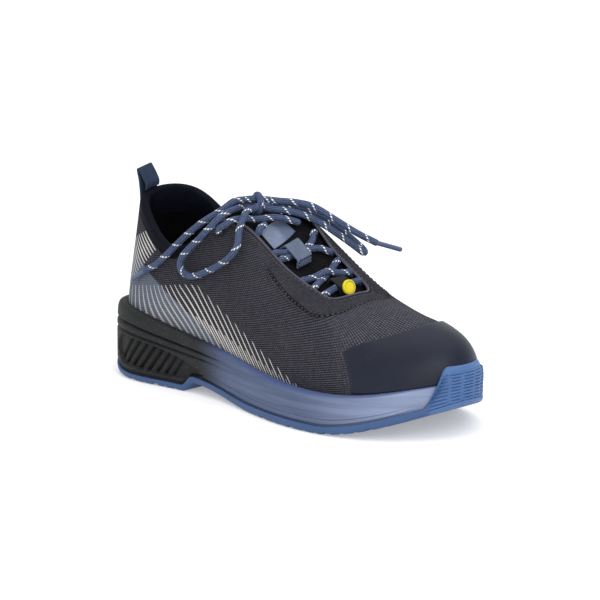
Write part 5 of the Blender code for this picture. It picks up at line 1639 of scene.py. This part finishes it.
# The panel's sizes and colours

def length_property(name, description, default):
    """A length in metres."""
    return bpy.props.FloatProperty(name=name, description=description, default=default, min=0.0001,
                                   unit="LENGTH", subtype="DISTANCE")


def colour_property(name, description, code):
    """A colour, given as it looks on a screen."""
    return bpy.props.FloatVectorProperty(name=name, description=description, default=screen(code), size=3,
                                         min=0.0, max=1.0, subtype="COLOR")


class ShoeSizes(bpy.types.PropertyGroup):
    """Sizes of the cloth, the lines and the seams."""
    knit_row: length_property("Knit row", "From one row of the side's knit to the next", 0.00125)
    knit_stitch: length_property("Knit stitch", "Length of one knitted stitch", 0.0022)
    knit_wale: length_property("Vamp row", "From one row of the vamp's knit to the next", 0.0019)
    hatch_pitch: length_property("Silver line", "From one silver line to the next", 0.0056)
    collar_band: length_property("Collar band", "Width of the satin outside the collar", 0.0058)
    piping: length_property("Piping", "Thickness of the piping on the throat", 0.0018)
    stitch: length_property("Stitch", "Length of a sewn stitch", 0.0022)
    stitch_gap: length_property("Stitch gap", "Room between two sewn stitches", 0.0012)
    thread: length_property("Thread", "Thickness of the sewing thread", 0.0005)
    fleck_turn: length_property("Fleck turn", "Length of lace in which its flecks wind round once", 0.013)


class ShoeColours(bpy.types.PropertyGroup):
    """Colours of the shoe's materials."""
    knit_dark: colour_property("Knit, dark", "Shade between the knit's rows", "17171b")
    knit_light: colour_property("Knit, light", "The knit's yarn", "4a4a53")
    # Painted light: the vamp's yarn, lighter than the side's
    knit_vamp_painted_light: colour_property("Knit, vamp", "The vamp's yarn", "5d5d6a")
    hatch: colour_property("Silver lines", "Yarn of the slanting lines", "c4c1bd")
    hatch_shade: colour_property("Silver lines, shade", "Shade of the slanting lines", "8d8b8b")
    counter: colour_property("Heel", "Blue-grey round the heel", "565d6b")
    counter_light: colour_property("Heel, light", "Light of the blue-grey", "7a818f")
    collar: colour_property("Collar", "Satin of the collar", "030408")
    collar_light: colour_property("Collar, light", "Light of the satin", "0c101b")
    # The lining's near-black also paints the shade in the heel panel's recess and slots, and darkens the knit
    # along its seam and throat edge
    lining: colour_property("Lining", "Cloth inside", "020203")
    lining_light: colour_property("Lining, light", "Yarn of the cloth inside", "0a0b0e")
    piping: colour_property("Piping", "Edge of the throat", "3a3844")
    piping_light: colour_property("Piping, light", "Light of the throat's edge", "5b5968")
    thread: colour_property("Thread", "Sewing thread", "2c2c31")
    thread_light: colour_property("Thread, light", "Light of the sewing thread", "6c6c72")
    eyelet: colour_property("Eyelet", "Rings of the top eyelets", "0c0d10")
    cap: colour_property("Toe cap", "Film on the toe", "0c111f")
    cap_light: colour_property("Toe cap, light", "Light of the film", "182036")
    foam: colour_property("Foam", "Foam towards the toe", "3d4862")
    foam_light: colour_property("Foam, light", "Light streaks of the foam", "5f6b88")
    # Painted light: the foam drawn paler beside the toe
    foam_toe_painted_light: colour_property("Foam, toe", "Pale foam beside the toe", "8792ad")
    foam_shade: colour_property("Foam, lines", "Fine lines low on the foam", "343f5c")
    foam_rim: colour_property("Foam rim", "Line on the foam's upper edge", "41527f")
    foam_heel: colour_property("Heel foam", "Charcoal foam at the heel", "0f1012")
    foam_heel_light: colour_property("Heel foam, light", "Light of the charcoal foam", "242629")
    rubber: colour_property("Rubber", "Rubber of the tread and the bumper", "3d5a8a")
    # Painted shade on the tread's low edge and painted light on the bumper, each a tone of the one rubber
    rubber_edge_painted_shade: colour_property("Rubber, edge", "Low edge of the tread", "31496f")
    rubber_bumper_painted_light: colour_property("Rubber, light", "Light of the rubber", "5277a5")
    mesh: colour_property("Tongue", "Mesh of the tongue", "070709")
    mesh_light: colour_property("Tongue, light", "Yarn of the tongue's mesh", "1f1f24")
    label: colour_property("Label", "Satin label on the tongue", "4a5670")
    label_light: colour_property("Label, light", "Light of the label", "77849c")
    keeper: colour_property("Keeper", "Ribbon that keeps the lace", "323c53")
    keeper_light: colour_property("Keeper, light", "Light of the ribbon", "57647d")
    badge: colour_property("Badge", "Round badge", "d0bd0c")
    badge_light: colour_property("Badge, light", "Light of the badge", "e2d22e")
    # Painted shade: the groove inside the badge's rim
    badge_ring_painted_shade: colour_property("Badge ring", "Groove inside the badge's rim", "6f6408")
    webbing: colour_property("Pull loop", "Webbing of the pull loop", "131d30")
    webbing_light: colour_property("Pull loop, light", "Light of the webbing", "28364f")
    lace_dark: colour_property("Lace, dark", "Between the lace's ribs", "151c2a")
    lace_light: colour_property("Lace, light", "The lace's yarn", "505e7e")
    fleck: colour_property("Flecks", "Pale flecks in the lace", "f3f3f1")
    tip: colour_property("Lace tip", "Film on the lace's ends", "3a4863")
    tip_light: colour_property("Lace tip, light", "Light of the tips", "617090")
    dust: colour_property("Dust", "Dust and crumbs", "a5a49f")
    floor: colour_property("Floor", "The floor's paper", "dcdcdc")


class ShoeOperator:
    """What the shoe's operators share: they make their pieces and finish."""
    bl_options = {"REGISTER", "UNDO"}
    makers = ()

    def execute(self, context):
        for make in self.makers:
            make()
        return {"FINISHED"}


class SHOE_OT_stage(ShoeOperator, bpy.types.Operator):
    """Makes the camera, the floor and the light"""
    bl_idname = "shoe.stage"
    bl_label = "Stage"
    makers = (make_camera, make_floor, make_lights)


class SHOE_OT_lace(ShoeOperator, bpy.types.Operator):
    """Makes the lace: held strands, knot, ends, loops and tips"""
    bl_idname = "shoe.lace"
    bl_label = "Lace"
    makers = (make_lace,)


class SHOE_OT_upper(ShoeOperator, bpy.types.Operator):
    """Makes the knitted upper with its piping, stitches and eyelets"""
    bl_idname = "shoe.upper"
    bl_label = "Upper"
    makers = (make_upper, make_upper_trim)


class SHOE_OT_toe_cap(ShoeOperator, bpy.types.Operator):
    """Makes the film over the toe"""
    bl_idname = "shoe.toe_cap"
    bl_label = "Toe cap"
    makers = (make_toe_cap,)


class SHOE_OT_midsole(ShoeOperator, bpy.types.Operator):
    """Makes the foam cup"""
    bl_idname = "shoe.midsole"
    bl_label = "Midsole"
    makers = (make_midsole,)


class SHOE_OT_outsole(ShoeOperator, bpy.types.Operator):
    """Makes the rubber tread and bumper"""
    bl_idname = "shoe.outsole"
    bl_label = "Outsole"
    makers = (make_outsole,)


class SHOE_OT_insole(ShoeOperator, bpy.types.Operator):
    """Makes the footbed"""
    bl_idname = "shoe.insole"
    bl_label = "Insole"
    makers = (make_insole,)


class SHOE_OT_tongue(ShoeOperator, bpy.types.Operator):
    """Makes the tongue with its label, keeper, loop and badge"""
    bl_idname = "shoe.tongue"
    bl_label = "Tongue"
    makers = (make_tongue, make_trim)


class SHOE_OT_pull_loop(ShoeOperator, bpy.types.Operator):
    """Makes the webbing loop at the back of the collar"""
    bl_idname = "shoe.pull_loop"
    bl_label = "Pull loop"
    makers = (make_pull_loop,)


OPERATORS = (SHOE_OT_stage, SHOE_OT_lace, SHOE_OT_upper, SHOE_OT_toe_cap, SHOE_OT_midsole, SHOE_OT_outsole,
             SHOE_OT_insole, SHOE_OT_tongue, SHOE_OT_pull_loop)


class SHOE_PT_panel(bpy.types.Panel):
    """Lists the shoe's sizes, colours and pieces"""
    bl_idname = "SHOE_PT_panel"
    bl_label = "Safety shoe"
    bl_space_type = "VIEW_3D"
    bl_region_type = "UI"
    bl_category = "Shoe"

    def draw(self, context):
        for group in (context.scene.shoe_sizes, context.scene.shoe_colours):
            box = self.layout.box()
            for name in group.bl_rna.properties.keys():
                if name not in ("rna_type", "name"):
                    box.prop(group, name)
        for operator in OPERATORS:
            self.layout.operator(operator.bl_idname)


CLASSES = (ShoeSizes, ShoeColours, *OPERATORS, SHOE_PT_panel)


def register():
    """Adds the panel, the operators and the settings."""
    for made in CLASSES:
        bpy.utils.register_class(made)
    bpy.types.Scene.shoe_sizes = bpy.props.PointerProperty(type=ShoeSizes)
    bpy.types.Scene.shoe_colours = bpy.props.PointerProperty(type=ShoeColours)


def unregister():
    """Takes the panel, the operators and the settings away."""
    del bpy.types.Scene.shoe_sizes
    del bpy.types.Scene.shoe_colours
    for made in reversed(CLASSES):
        bpy.utils.unregister_class(made)


def main():
    """Makes the stage and every piece."""
    register()
    bpy.ops.shoe.stage()
    bpy.ops.shoe.lace()
    bpy.ops.shoe.upper()
    bpy.ops.shoe.toe_cap()
    bpy.ops.shoe.midsole()
    bpy.ops.shoe.outsole()
    bpy.ops.shoe.insole()
    bpy.ops.shoe.tongue()
    bpy.ops.shoe.pull_loop()


if __name__ == "__main__":
    main()
